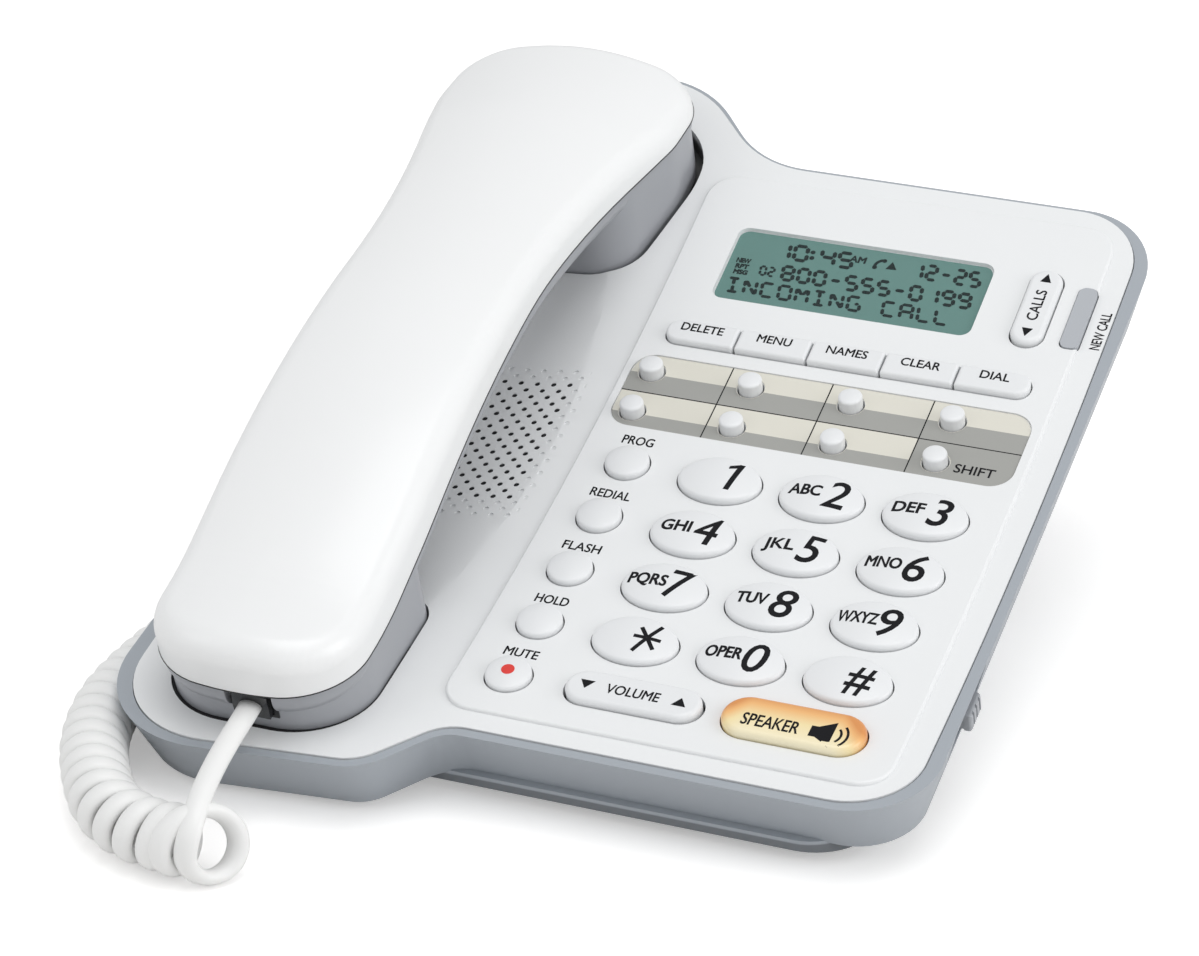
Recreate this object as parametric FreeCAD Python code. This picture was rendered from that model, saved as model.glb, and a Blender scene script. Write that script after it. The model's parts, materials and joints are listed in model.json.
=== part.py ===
import FreeCAD, Part
import math
import os

# Corded desk telephone with a caller display.
# Everything is drawn in the slab's own frame: X to the right, Y up the slope
# towards the display, Z out of the face. Z = 0 touches the keypad face at its
# lowest line, where Y = 0. seat() then tilts the slab onto its feet.
V = FreeCAD.Vector
X_AXIS = V(1, 0, 0)
Y_AXIS = V(0, 1, 0)
Z_AXIS = V(0, 0, 1)

# Slab: the concave face and how it sits on the desk
face_radius = 687.5        # the face is a hollow cylinder about an X axis
tilt = 17.8                # degrees, slope of the face at Y = 0
desk_drop = 39.5           # height of Y = 0, Z = 0 above the desk
rim_drop = 0.8             # the keypad panel stands this proud of the cover
cover_wall = 2.2
ledge_drop = 0.4           # grey rim below the white cover
slab_depth = 14.5          # white cover's edge to the slab's underside
ledge = 2.5                # width of the grey rim round the cover
rear_ledge = 1.2
side_draft = 16.0          # degrees that the grey wall leans in
housing_wall = 3.2
pocket_side_wall = 1.6     # housing wall left where the ear pocket comes near
seam = 0.2                 # gap between parts that only sit beside each other
reach = 140.0              # half size of construction blocks

# White cover's outline, seen along Z
cover_right = 79.3
cover_front = -83.2
cover_rear = 91.6
cover_corner = 15.0
lobe_left_front = -79.4
lobe_left_rear = -83.4
lobe_front = -103.2
lobe_front_inner = -98.4
lobe_rear = 112.0
lobe_front_corner = 21.0
lobe_rear_corner = 24.0
front_bend = (-25.6, -13.3)    # X where the front S curve leaves lobe and keypad
front_bend_radius = 10.0
rear_bend = (-28.9, -8.9)
rear_bend_radius = 25.0

# Raised keypad panel
panel_left = -17.6
panel_right = 74.3
panel_front = -78.4
panel_rear = 87.0
panel_corner = 7.0
panel_edge = 0.6           # rounding of the panel's step

# Handset and its two pockets in the left lobe
handset_x = -50.9
handset_front = -96.3
handset_rear = 102.8
mouth_half = 21.9
mouth_y = -50.0
waist_half = 20.1
waist_y = 36.0
ear_half = 28.2
ear_y = 78.0
end_bow = 2.2               # how far both ends bow out in the middle
mouth_corner = 16.0
ear_corner = 14.5
crown_radius = 75.0
shell_edge = 5.5           # rounding of the upper shell
shell_wall = 2.0
parting_step = 0.4         # lower shell stands in from the upper one
grip_depth = 7.0           # lower shell's grip below the parting line
grip_edge = 5.6
parting = [                # side view of the parting line: Y, Z, radius of the bend
    (-130.0, 19.0, 0),
    (-71.0, 14.4, 60.0),
    (-5.0, 27.0, 216.0),
    (90.0, 17.0, 60.0),
    (140.0, 17.6, 0),
]
crest = [                  # side view of the handset's back, in the same way
    (-130.0, 31.0, 0),
    (-75.0, 26.6, 60.0),
    (-18.0, 37.9, 216.0),
    (70.0, 30.0, 100.0),
    (130.0, 19.5, 0),
]
mouth_cup_rear = -49.0
ear_cup_front = 53.0
ear_cup_rear = 100.4
cup_inset = 0.4
cup_edge = 2.5
mouth_cup_corner = 7.0
ear_cup_corner = 11.0
pocket_depth = 6.4
pocket_front_gap = 1.2     # in front of the mouth cup
pocket_gap = 0.5           # at the mouth cup's other sides and in front of the ear cup
ear_pocket_gap = 2.0       # beside and behind the ear cup
cup_clearance = 0.3
lift_travel = 60.0

# Finger valley under the grip
valley_depth = 3.0
valley_radius = 120.0
valley_bend = 418.0        # side view radius, tighter than the face, so that both ends fade out
valley_front = -76.0
valley_rear = 58.0

# Loudspeaker and its grille
grille_x = -34.0
grille_columns = 6
grille_rows = 24
grille_y = 1.25
grille_pitch = 3.8
grille_row_step = 1.95
grille_hole = 0.6
grille_dimple = 0.35       # depth of the blind holes round the open ones
blind_front_rows = 3
blind_rear_rows = 2
speaker_x = -34.0
speaker_radius = 17.5
speaker_top = -6.6
speaker_height = 6.4

# Keys: every key slides along Z
travel = 1.2
key_gap = 0.3
key_flange = 1.0
flange_thick = 1.1
key_x = 14.3
key_y = -2.3
key_pitch_x = 22.0
key_pitch_y = 16.5
key_half_x = 9.2           # half size of the oval hole
key_half_y = 6.6
key_rise = 2.2
key_dome = 34.0
key_edge = 0.9
function_x = -6.3
function_y = -1.5
function_radius = 4.97
function_rise = 1.9
memory_x = -11.0
memory_y = 26.4
memory_pitch_x = 22.09
memory_pitch_y = 12.1
memory_radius = 2.86
memory_rise = 2.7
soft_left = -12.1
soft_right = 68.6
soft_y = 38.5
soft_height = 6.8
soft_rise = 1.5
soft_count = 5
soft_gap = 0.35
volume_x = 19.8
volume_y = -67.1
volume_length = 29.0
volume_height = 9.6
volume_rise = 1.7
speaker_key_x = 52.5
speaker_key_y = -66.8
speaker_key_length = 29.6
speaker_key_height = 11.4
speaker_key_rise = 1.9
list_x = 63.1
list_y = 61.3
list_length = 22.6
list_width = 7.7
list_rise = 1.4
rocker_swing = 3.0         # degrees each way
rocker_axis = 4.7          # depth of the pivot pin below the face
rocker_pin = 0.9
rocker_play = 0.25         # extra room at a rocker's two ends

# Display, call light and directory card
lcd_left = -6.6
lcd_right = 51.2
lcd_low = 50.8
lcd_high = 72.2
lcd_corner = 2.5
window_wall = 0.6
window_sink = 0.3
light_left = 70.2
light_right = 74.6
light_low = 51.7
light_high = 69.6
card_left = -15.7
card_right = 71.9
card_low = 9.8
card_high = 31.5
card_corner = 5.0
card_sink = 0.5
card_wall = 0.3
card_hole = 3.0            # radius of the holes for the memory buttons

# Inside
board_top = -7.4
stem_end = -4.9            # lowest point of a key at rest
board_wall = 1.6
mat_wall = 1.0
board_left = -15.5
board_right = 73.0
board_low = -71.0
board_high = 64.0
floor_wall = 2.0
boss_radius = 3.4
screw_hole = 1.3
screw_radius = 1.2
screw_head = 2.8

# Underside
desk_gap = 2.5             # plastic above the desk, carried by the pads
belly_wall = 2.4
belly = [                  # plan of the belly under the slab, ground frame
    (70.0, -76.0, 12.0),
    (58.0, 34.0, 6.0),
    (-64.0, 34.0, 6.0),
    (-64.0, -76.0, 12.0),
]
pad_radius = 6.0
pad_sink = 0.8
bay_half = 31.0
bay_low = -24.0
bay_wall = 2.0
bay_top = 19.0
cell_count = 4
cell_radius = 7.2
cell_length = 50.5
cell_pitch = 14.8
door_wall = 1.7
door_tongue = 2.0
door_travel = 10.5         # the door then stands clear of the desk stand
door_gap = 0.3
stand_left = -62.0
stand_right = 44.0
stand_front = 45.0
stand_rear = 84.0
stand_wall = 2.6
stand_corner = 9.0

# Ringer slide switch in the right wall
ringer_y = -46.0
ringer_z = -5.6
ringer_travel = 4.0        # each way from the middle
ringer_slot = 16.6
ringer_slot_height = 4.4
ringer_scoop = 20.0
ringer_scoop_height = 8.0
ringer_scoop_depth = 1.2
knob_length = 6.6
knob_height = 4.2
knob_out = 1.9

# Jacks and the curly cord
jack_width = 9.8
jack_height = 7.6
jack_length = 13.0
handset_jack_x = -48.0
handset_jack_z = 12.4
notch_depth = 2.0          # jack's face behind the mouth cup's front
base_jack_y = 30.0
base_jack_z = -7.9
rear_jack_x = (22.0, 44.0)
rear_jack_z = -3.2
plug_width = 7.6
plug_height = 5.8
plug_length = 11.5
plug_out = 1.5             # how far a plug stands out of its jack
cord_wire = 3.3
curl_radius = 5.3
curl_pitch = 4.96
curl_count = 40.75
curl_start = 180.0         # degrees round the coil, from its right side upwards
first_radius = 6.4         # the lead pulls the first curl open and turns it
first_pitch = 8.4
first_skew = 38.0
first_fade = 1.5           # curls over which that dies away
hook_y = 61.0
hook_rise = 3.5
handset_screw_y = (-56.0, 94.0)
ear_piece_y = 74.5
mouth_piece_y = -78.0
coil_route = [             # ground frame, the coil's centre line
    (-42.4, -123.4, 8.3),
    (-50.6, -123.4, 7.5),
    (-59.5, -121.9, 7.2),
    (-68.5, -117.0, 7.2),
    (-76.0, -107.0, 7.2),
    (-82.9, -94.8, 7.2),
    (-87.2, -79.6, 7.2),
    (-86.9, -62.0, 7.2),
    (-85.0, -46.0, 7.2),
    (-82.6, -31.0, 7.2),
    (-81.0, -15.0, 7.2),
    (-80.5, 3.0, 7.2),
    (-81.0, 22.0, 7.2),
    (-83.5, 40.0, 7.2),
    (-87.0, 58.0, 7.2),
]
front_lead = [
    (-47.9, -103.5, 20.6),
    (-47.2, -113.0, 20.2),
    (-45.6, -121.6, 18.9),
    (-44.7, -127.6, 14.6),
]
rear_lead = [
    (-95.0, 50.8, 16.0),
    (-100.2, 47.5, 25.0),
    (-100.0, 41.0, 34.0),
    (-95.0, 34.5, 40.8),
]
digit_names = ("1", "2", "3", "4", "5", "6", "7", "8", "9", "star", "0", "hash")
function_names = ("prog", "redial", "flash", "hold", "mute")


def vec_angle(a, b):
    return math.atan2(a.x * b.y - a.y * b.x, a.x * b.x + a.y * b.y)


def face_height(y):
    return face_radius - math.sqrt(face_radius ** 2 - y ** 2)


def rounded(corners, z=0.0):
    # straight runs joined by tangent arcs; corners are (x, y, radius)
    count = len(corners)
    starts = []
    ends = []
    arcs = []
    for i, (x, y, radius) in enumerate(corners):
        here = V(x, y, z)
        before = corners[i - 1]
        after = corners[(i + 1) % count]
        to_before = (V(before[0], before[1], z) - here).normalize()
        to_after = (V(after[0], after[1], z) - here).normalize()
        turn = math.pi - abs(vec_angle(to_before, to_after))
        back = radius * math.tan(turn / 2)
        start = here + to_before * back
        end = here + to_after * back
        middle_way = (to_before + to_after).normalize()
        middle = here + middle_way * (radius / math.cos(turn / 2) - radius)
        starts.append(start)
        ends.append(end)
        arcs.append(Part.Arc(start, middle, end).toShape())
    edges = []
    for i in range(count):
        edges.append(arcs[i])
        run_end = starts[(i + 1) % count]
        if ends[i].distanceToPoint(run_end) > 1e-5:
            edges.append(Part.LineSegment(ends[i], run_end).toShape())
    return Part.Wire(edges)


def shifted(corners, amounts):
    # moves each run of a counter-clockwise outline outwards by its own amount
    count = len(corners)
    lines = []
    for i in range(count):
        a = V(corners[i][0], corners[i][1], 0)
        b = V(corners[(i + 1) % count][0], corners[(i + 1) % count][1], 0)
        way = (b - a).normalize()
        out = V(way.y, -way.x, 0)
        lines.append((a + out * amounts[i], way))
    moved = []
    for i in range(count):
        a, way_a = lines[i - 1]
        b, way_b = lines[i]
        cross = way_a.x * way_b.y - way_a.y * way_b.x
        gap = b - a
        along = (gap.x * way_b.y - gap.y * way_b.x) / cross
        corner = a + way_a * along
        change = (amounts[i - 1] + amounts[i]) / 2
        radius = corners[i][2] + (change if cross > 0 else -change)
        moved.append((corner.x, corner.y, max(radius, 0.4)))
    return moved


def grown(corners, amount):
    return shifted(corners, [amount] * len(corners))


def prism(corners, low=-reach, high=reach):
    return Part.Face(rounded(corners, low)).extrude(V(0, 0, high - low))


def box_corners(left, low, right, high, radius):
    return [(right, low, radius), (right, high, radius), (left, high, radius), (left, low, radius)]


def pill(x, y, length, height, along_x=True):
    radius = height / 2 - 0.01
    half_x = (length if along_x else height) / 2
    half_y = (height if along_x else length) / 2
    return box_corners(x - half_x, y - half_y, x + half_x, y + half_y, radius)


def run_path(points):
    # an open path of straight runs and tangent arcs; points are (vector, radius)
    edges = []
    last = points[0][0]
    for i in range(1, len(points) - 1):
        here, radius = points[i]
        to_before = (points[i - 1][0] - here).normalize()
        to_after = (points[i + 1][0] - here).normalize()
        turn = math.pi - to_before.getAngle(to_after)
        back = radius * math.tan(turn / 2)
        start = here + to_before * back
        end = here + to_after * back
        middle_way = (to_before + to_after).normalize()
        middle = here + middle_way * (radius / math.cos(turn / 2) - radius)
        if last.distanceToPoint(start) > 1e-5:
            edges.append(Part.LineSegment(last, start).toShape())
        edges.append(Part.Arc(start, middle, end).toShape())
        last = end
    edges.append(Part.LineSegment(last, points[-1][0]).toShape())
    return Part.Wire(edges)


def side_path(line, rise, x):
    return run_path([(V(x, y, z + rise), radius) for y, z, radius in line])


def parting_z(y):
    upright = Part.makeLine(V(0, y, -50), V(0, y, 80))
    return side_path(parting, 0, 0).distToShape(upright)[1][0][0].z


def along_parting(top, bottom):
    # everything between two copies of the parting line, one above the other
    upper = side_path(parting, top, -reach)
    lower = side_path(parting, bottom, -reach)
    sides = []
    for k in (0, -1):
        y, z, _ = parting[k]
        sides.append(Part.LineSegment(V(-reach, y, z + top), V(-reach, y, z + bottom)).toShape())
    wire = Part.Wire(Part.__sortEdges__(upper.Edges + lower.Edges + sides))
    return Part.Face(wire).extrude(V(2 * reach, 0, 0))


def arc_at(depth, x, low, high):
    radius = face_radius + depth

    def at(y):
        return V(x, y, face_radius - math.sqrt(radius ** 2 - y ** 2))

    return Part.Arc(at(low), at((low + high) / 2), at(high)).toShape()


def band(top, bottom, low=-reach, high=reach, left=-reach, right=reach):
    # everything between two depths below the concave face
    upper = arc_at(top, left, low, high)
    lower = arc_at(bottom, left, low, high)
    ends = [Part.LineSegment(upper.Vertexes[k].Point, lower.Vertexes[k].Point).toShape() for k in (0, 1)]
    wire = Part.Wire(Part.__sortEdges__([upper, ends[0], lower, ends[1]]))
    return Part.Face(wire).extrude(V(right - left, 0, 0))


def layer(corners, top, bottom):
    return prism(corners).common(band(top, bottom))


def oval(x, y, half_x, half_y, top, bottom):
    ellipse = Part.Ellipse(V(x, y, -reach), half_x, half_y).toShape()
    column = Part.Face(Part.Wire([ellipse])).extrude(V(0, 0, 2 * reach))
    return column.common(band(top, bottom, y - 30, y + 30, x - 30, x + 30))


def round_layer(x, y, radius, top, bottom):
    column = Part.makeCylinder(radius, 2 * reach, V(x, y, -reach), Z_AXIS)
    return column.common(band(top, bottom, y - 30, y + 30, x - 30, x + 30))


def block(left, low, bottom, right, high, top):
    return Part.makeBox(right - left, high - low, top - bottom, V(left, low, bottom))


def join(first, *others):
    return first.fuse(list(others)).removeSplitter()


def top_edges(shape, level):
    # edges that lie wholly above a level measured from the face
    found = []
    for edge in shape.Edges:
        points = edge.discretize(5)
        if all(p.z - face_height(p.y) > level for p in points):
            found.append(edge)
    return found


def soften(shape, radius, level):
    return shape.makeFillet(radius, top_edges(shape, level))


# The slab is tilted about X and stood on the desk.
def seat(shape):
    placed = shape.copy()
    placed.rotate(V(0, 0, 0), X_AXIS, tilt)
    placed.translate(V(0, 0, desk_drop))
    return placed


def cover_outline():
    return [
        (cover_right, cover_front, cover_corner),
        (cover_right, cover_rear, cover_corner),
        (rear_bend[1], cover_rear, rear_bend_radius),
        (rear_bend[0], lobe_rear, rear_bend_radius),
        (lobe_left_rear, lobe_rear, lobe_rear_corner),
        (lobe_left_front, lobe_front, lobe_front_corner),
        (front_bend[0], lobe_front_inner, front_bend_radius),
        (front_bend[1], cover_front, front_bend_radius),
    ]


def housing_outline(extra=0.0):
    # at the level Z = 0; the ends stand higher, so their draft is taken off
    lean = math.tan(math.radians(side_draft))
    front = ledge - face_height(cover_front) * lean
    rear = rear_ledge - face_height(cover_rear) * lean
    lobe_low = ledge - face_height(lobe_front) * lean
    lobe_high = rear_ledge - face_height(lobe_rear) * lean
    amounts = [
        ledge,
        rear,
        (rear + lobe_high) / 2,
        lobe_high,
        ledge,
        lobe_low,
        (front + lobe_low) / 2,
        front,
    ]
    return shifted(cover_outline(), [a + extra for a in amounts])


def drafted(extra, low=-40.0, high=30.0):
    lean = math.tan(math.radians(side_draft))
    base = housing_outline(extra)
    bottom = rounded(grown(base, low * lean), low)
    top = rounded(grown(base, high * lean), high)
    return Part.makeLoft([bottom, top], True, True)


def panel_outline():
    return box_corners(panel_left, panel_front, panel_right, panel_rear, panel_corner)


def handset_outline(inset=0.0):
    right = [
        (mouth_half, handset_front + end_bow, mouth_corner),
        (mouth_half, mouth_y, 150.0),
        (waist_half, waist_y, 220.0),
        (ear_half, ear_y, 30.0),
        (ear_half, handset_rear - end_bow, ear_corner),
    ]
    corners = [(handset_x + half, y, r) for half, y, r in right]
    corners.append((handset_x, handset_rear + 0.4, 100.0))
    corners += [(handset_x - half, y, r) for half, y, r in reversed(right)]
    corners.append((handset_x, handset_front - 0.4, 60.0))
    return grown(corners, -inset)


def cup_outlines():
    # plan of the mouth cup and of the ear cup
    slope = (ear_half - waist_half) / (ear_y - waist_y)
    ear_front_half = waist_half + slope * (ear_cup_front - waist_y)
    mouth = [
        (mouth_half, handset_front + end_bow, mouth_corner),
        (mouth_half, mouth_cup_rear, mouth_cup_corner),
    ]
    ear = [
        (ear_front_half, ear_cup_front, ear_cup_corner),
        (ear_half, ear_y, 30.0),
        (ear_half, ear_cup_rear, ear_corner),
    ]
    plans = []
    for half_plan in (mouth, ear):
        corners = [(handset_x + half, y, r) for half, y, r in half_plan]
        corners += [(handset_x - half, y, r) for half, y, r in reversed(half_plan)]
        plans.append(grown(corners, -cup_inset))
    return plans


def pocket_outlines():
    mouth, ear = cup_outlines()
    beside = (pocket_gap + ear_pocket_gap) / 2
    mouth_gaps = [pocket_gap, pocket_gap, pocket_gap, pocket_front_gap]
    ear_gaps = [beside, ear_pocket_gap, ear_pocket_gap, beside, pocket_gap, pocket_gap]
    return [shifted(mouth, mouth_gaps), shifted(ear, ear_gaps)]


def valley(depth_below):
    # a long hollow scooped along the curved face
    radius = valley_radius + depth_below
    centre = valley_radius - valley_depth - rim_drop
    span = math.sqrt(radius ** 2 - centre ** 2)
    ends = [V(handset_x + side * span, 0, 0) for side in (-1, 1)]
    bottom = V(handset_x, 0, centre - radius)
    raised = [V(end.x, 0, 6.0) for end in ends]
    edges = [
        Part.Arc(ends[0], bottom, ends[1]).toShape(),
        Part.LineSegment(ends[1], raised[1]).toShape(),
        Part.LineSegment(raised[1], raised[0]).toShape(),
        Part.LineSegment(raised[0], ends[0]).toShape(),
    ]
    profile = Part.Face(Part.Wire(edges))
    angle_low = math.degrees(math.asin(valley_front / valley_bend))
    angle_high = math.degrees(math.asin(valley_rear / valley_bend))
    profile.rotate(V(0, 0, valley_bend), X_AXIS, angle_low)
    return profile.revolve(V(0, 0, valley_bend), X_AXIS, angle_high - angle_low)


def grille_holes():
    # open holes, and shallow blind ones at both ends and along the right side
    holes = []
    dimples = []
    for row in range(grille_rows):
        y = grille_y + (row - (grille_rows - 1) / 2) * grille_row_step
        shift = grille_pitch / 4 if row % 2 else -grille_pitch / 4
        for column in range(grille_columns):
            x = grille_x + (column - (grille_columns - 1) / 2) * grille_pitch + shift
            hole = Part.makeCylinder(grille_hole, 16, V(x, y, -10), Z_AXIS)
            at_end = row < blind_front_rows or row >= grille_rows - blind_rear_rows
            if at_end or column == grille_columns - 1:
                dimples.append(hole)
            else:
                holes.append(hole)
    return [*holes, Part.makeCompound(dimples).common(valley(grille_dimple))]


def key_places():
    for row in range(4):
        for column in range(3):
            yield key_x + column * key_pitch_x, key_y - row * key_pitch_y


def function_places():
    for row in range(5):
        yield function_x, function_y - row * key_pitch_y


def memory_places():
    for row in range(2):
        for column in range(4):
            yield memory_x + column * memory_pitch_x, memory_y - row * memory_pitch_y


def soft_places():
    width = (soft_right - soft_left) / soft_count
    for i in range(soft_count):
        yield soft_left + i * width, soft_left + (i + 1) * width


def boss_places():
    return [
        (-20.5, -76.0),
        (70.0, 76.0),
        (36.0, -74.9),
        (-14.2, 76.5),
        (-71.0, -8.0),
    ]


def cover_depth():
    return rim_drop + cover_wall


def slab_bottom():
    return rim_drop + slab_depth


def ring(x, y, outer, inner, low, high):
    solid = Part.makeCylinder(outer, high - low, V(x, y, low), Z_AXIS)
    return solid.cut(Part.makeCylinder(inner, high - low, V(x, y, low), Z_AXIS))


def window_corners(inset=0.0):
    return box_corners(lcd_left + inset, lcd_low + inset, lcd_right - inset, lcd_high - inset, lcd_corner)


def card_corners(inset=0.0):
    return box_corners(
        card_left + inset, card_low + inset, card_right - inset, card_high - inset, card_corner
    )


def light_corners(inset=0.0):
    return box_corners(light_left + inset, light_low + inset, light_right - inset, light_high - inset, 1.6)


def top_cover():
    under = cover_depth()
    shell = layer(cover_outline(), rim_drop, under)
    pad = soften(layer(panel_outline(), 0, under - 0.5), panel_edge, -0.05)
    pocket_shell = []
    pocket_air = []
    for corners in pocket_outlines():
        wall = cover_wall * 0.8
        pocket_shell.append(layer(grown(corners, wall), rim_drop + 0.1, pocket_depth + wall))
        pocket_air.append(layer(corners, -8, pocket_depth))
    hollow = valley(0.0)
    hollow_shell = valley(cover_wall).common(layer(cover_outline(), rim_drop + 0.1, 9.0))
    bosses = []
    for x, y in boss_places():
        bosses.append(round_layer(x, y, boss_radius, under - 0.4, slab_bottom() - floor_wall))
    speaker_ring = ring(speaker_x, 0, speaker_radius, speaker_radius - 3.0, speaker_top, speaker_top + 4.4)
    near_relief = drafted(-pocket_side_wall - 2 * seam)
    near_wall = drafted(-housing_wall - seam)
    hanging = [piece.common(near_relief) for piece in [*pocket_shell, hollow_shell]]
    hanging += [boss.common(near_wall) for boss in bosses]
    cover = join(shell, pad, *hanging, speaker_ring)
    cuts = [hollow, *pocket_air]
    cuts += [round_layer(x, y, screw_hole, under + 2.0, 20) for x, y in boss_places()]
    cuts += [oval(x, y, key_half_x, key_half_y, -5, 9) for x, y in key_places()]
    cuts += [round_layer(x, y, function_radius, -5, 9) for x, y in function_places()]
    cuts += [round_layer(x, y, memory_radius, -5, 9) for x, y in memory_places()]
    soft_low = soft_y - soft_height / 2
    cuts.append(layer(box_corners(soft_left, soft_low, soft_right, soft_low + soft_height, 3.2), -5, 9))
    cuts.append(layer(pill(volume_x, volume_y, volume_length, volume_height), -5, 9))
    cuts.append(layer(pill(speaker_key_x, speaker_key_y, speaker_key_length, speaker_key_height), -5, 9))
    cuts.append(layer(pill(list_x, list_y, list_length, list_width, False), -5, 9))
    cuts.append(layer(window_corners(), -5, window_sink + window_wall))
    cuts.append(layer(window_corners(1.2), 0, 9))
    cuts.append(layer(light_corners(), -5, 9))
    cuts.append(layer(card_corners(), -5, card_sink))
    cuts.append(block(handset_x - 4.4, hook_y - 2.9, -20, handset_x + 4.4, hook_y + 2.9, 5))
    cover = cover.cut(cuts)
    return cover.cut(grille_holes())


def below_slab():
    # the space under the slab, lapped a little into it, in the ground frame
    return seat(band(slab_bottom() - 0.6, slab_bottom() + 90))


def bottom_housing():
    lean_in = drafted(0.0)
    slab = lean_in.common(band(rim_drop + ledge_drop, slab_bottom()))
    under_plan = Part.Face(rounded(belly, desk_gap)).extrude(V(0, 0, 90))
    outer = join(seat(slab), under_plan.common(below_slab()))
    bay_rear = bay_low + cell_length
    bay = block(
        -bay_half - bay_wall * 2, bay_low - bay_wall, desk_gap,
        bay_half + bay_wall * 2, bay_rear + bay_wall, bay_top + bay_wall * 0.85,
    )
    outer = join(outer, bay)
    inside = drafted(-housing_wall).common(band(cover_depth() - 0.5, slab_bottom() - floor_wall))
    ear_pocket = grown(pocket_outlines()[1], cover_wall * 0.8 + 2 * seam)
    relief = drafted(-pocket_side_wall).common(
        layer(ear_pocket, cover_depth() - 0.5, pocket_depth + cover_wall * 0.8 + 2 * seam)
    )
    inside = inside.fuse(relief)
    seat_air = layer(grown(cover_outline(), seam), -12, cover_depth())
    belly_air = Part.Face(rounded(grown(belly, -belly_wall), desk_gap + belly_wall)).extrude(V(0, 0, 90))
    belly_air = belly_air.common(seat(band(slab_bottom() - floor_wall - 1.0, slab_bottom() + 90)))
    kept = [bay]
    for x, y in pillar_places():
        column = Part.makeCylinder(3.0, 70, V(x, y, board_top - board_wall - 70), Z_AXIS)
        kept.append(seat(column).common(outer))
    air = seat(inside).fuse([seat(seat_air), belly_air]).cut(kept)
    housing = outer.cut(air)
    cuts = [
        block(-bay_half, bay_low, -5, bay_half, bay_rear, bay_top),
        block(-bay_half, bay_low, -5, bay_half, 60, desk_gap + door_wall + door_gap),
        block(
            -bay_half - door_tongue, bay_low, desk_gap + door_wall / 2 - door_gap,
            bay_half + door_tongue, 60, desk_gap + door_wall + door_gap,
        ),
    ]
    for x, y in pad_places()[:2]:
        cuts.append(Part.makeCylinder(pad_radius, pad_sink, V(x, y, desk_gap), Z_AXIS))
    slab_cuts = []
    for x, y in boss_places():
        slab_cuts.append(round_layer(x, y, screw_hole, cover_depth() + 2, 60))
        slab_cuts.append(round_layer(x, y, screw_head + 0.2, slab_bottom() - 0.6, 60))
    wall_x = cover_right + ledge + ringer_z * math.tan(math.radians(side_draft))
    slab_cuts.append(block(
        wall_x - 12, ringer_y - ringer_slot / 2, ringer_z - ringer_slot_height / 2,
        wall_x + 12, ringer_y + ringer_slot / 2, ringer_z + ringer_slot_height / 2,
    ))
    scoop = drafted(0.0).cut(drafted(-ringer_scoop_depth)).common(block(
        wall_x - 12, ringer_y - ringer_scoop / 2, ringer_z - ringer_scoop_height / 2,
        wall_x + 12, ringer_y + ringer_scoop / 2, ringer_z + ringer_scoop_height / 2,
    ))
    slab_cuts.append(scoop)
    for jack in jack_blocks():
        slab_cuts.append(jack)
    return housing.cut(cuts + [seat(c) for c in slab_cuts])


def pillar_places():
    return [(-10.0, -67.0), (67.0, -67.0), (-10.0, 58.0), (67.0, 46.0), (67.0, -4.0)]


def pad_places():
    # ground frame: two under the belly's front, two under the stand's rear
    return [
        (56.0, -63.0), (-52.0, -63.0),
        (stand_right - 12, stand_rear - 12), (stand_left + 12, stand_rear - 12),
    ]


def left_wall_x(y):
    share = (y - lobe_front) / (lobe_rear - lobe_front)
    edge = lobe_left_front + (lobe_left_rear - lobe_left_front) * share
    return edge - ledge - base_jack_z * math.tan(math.radians(side_draft))


def jack_blocks():
    half = jack_width / 2
    tall = jack_height / 2
    left = left_wall_x(base_jack_y)
    side = block(
        left - 4, base_jack_y - half, base_jack_z - tall,
        left + jack_length, base_jack_y + half, base_jack_z + tall,
    )
    rear = cover_rear + rear_ledge - 1.0
    blocks = [side]
    for x in rear_jack_x:
        blocks.append(block(
            x - half, rear - jack_length, rear_jack_z - tall, x + half, rear + 6, rear_jack_z + tall
        ))
    return blocks


def base_jacks():
    half = plug_width / 2 + seam
    tall = plug_height / 2 + seam
    shells = drafted(-0.4)
    pieces = []
    for jack in jack_blocks():
        pieces.append(jack.common(shells))
    left = left_wall_x(base_jack_y)
    depth = plug_length - plug_out
    mouths = [block(
        left - 9, base_jack_y - half, base_jack_z - tall,
        left + depth, base_jack_y + half, base_jack_z + tall,
    )]
    rear = cover_rear + rear_ledge - 1.0
    line_x, power_x = rear_jack_x
    mouths.append(block(
        line_x - half, rear - depth, rear_jack_z - tall, line_x + half, rear + 9, rear_jack_z + tall
    ))
    socket = Part.makeCylinder(2.9, 24, V(power_x, rear - 9, rear_jack_z), Y_AXIS)
    pin = Part.makeCylinder(0.9, 8, V(power_x, rear - 9.5, rear_jack_z), Y_AXIS)
    pieces = [piece.cut([*mouths, socket]) for piece in pieces]
    pieces[2] = pieces[2].fuse(pin)
    return Part.makeCompound(pieces)


def plug(x, y, z, way):
    # a small modular plug; way points from its tip to its cord
    half = plug_width / 2
    low = z - plug_height / 2
    body = block(x - half, y - plug_length, low, x + half, y, low + plug_height)
    latch = block(x - 1.6, y - plug_length + 1.5, low - 0.1, x + 1.6, y - 1.0, low + 0.6)
    solid = body.cut(latch)
    if way == "left":
        solid.rotate(V(x, y, z), Z_AXIS, 90)
    if way == "front":
        solid.rotate(V(x, y, z), Z_AXIS, 180)
    return solid


def handset_plug_end():
    return V(handset_jack_x, handset_front + cup_inset + notch_depth - plug_out, handset_jack_z)


def base_plug_end():
    return V(left_wall_x(base_jack_y) - plug_out, base_jack_y, base_jack_z)


def handset_plug():
    end = handset_plug_end()
    return plug(end.x, end.y, end.z, "front")


def base_plug():
    end = base_plug_end()
    return plug(end.x, end.y, end.z, "left")


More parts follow.
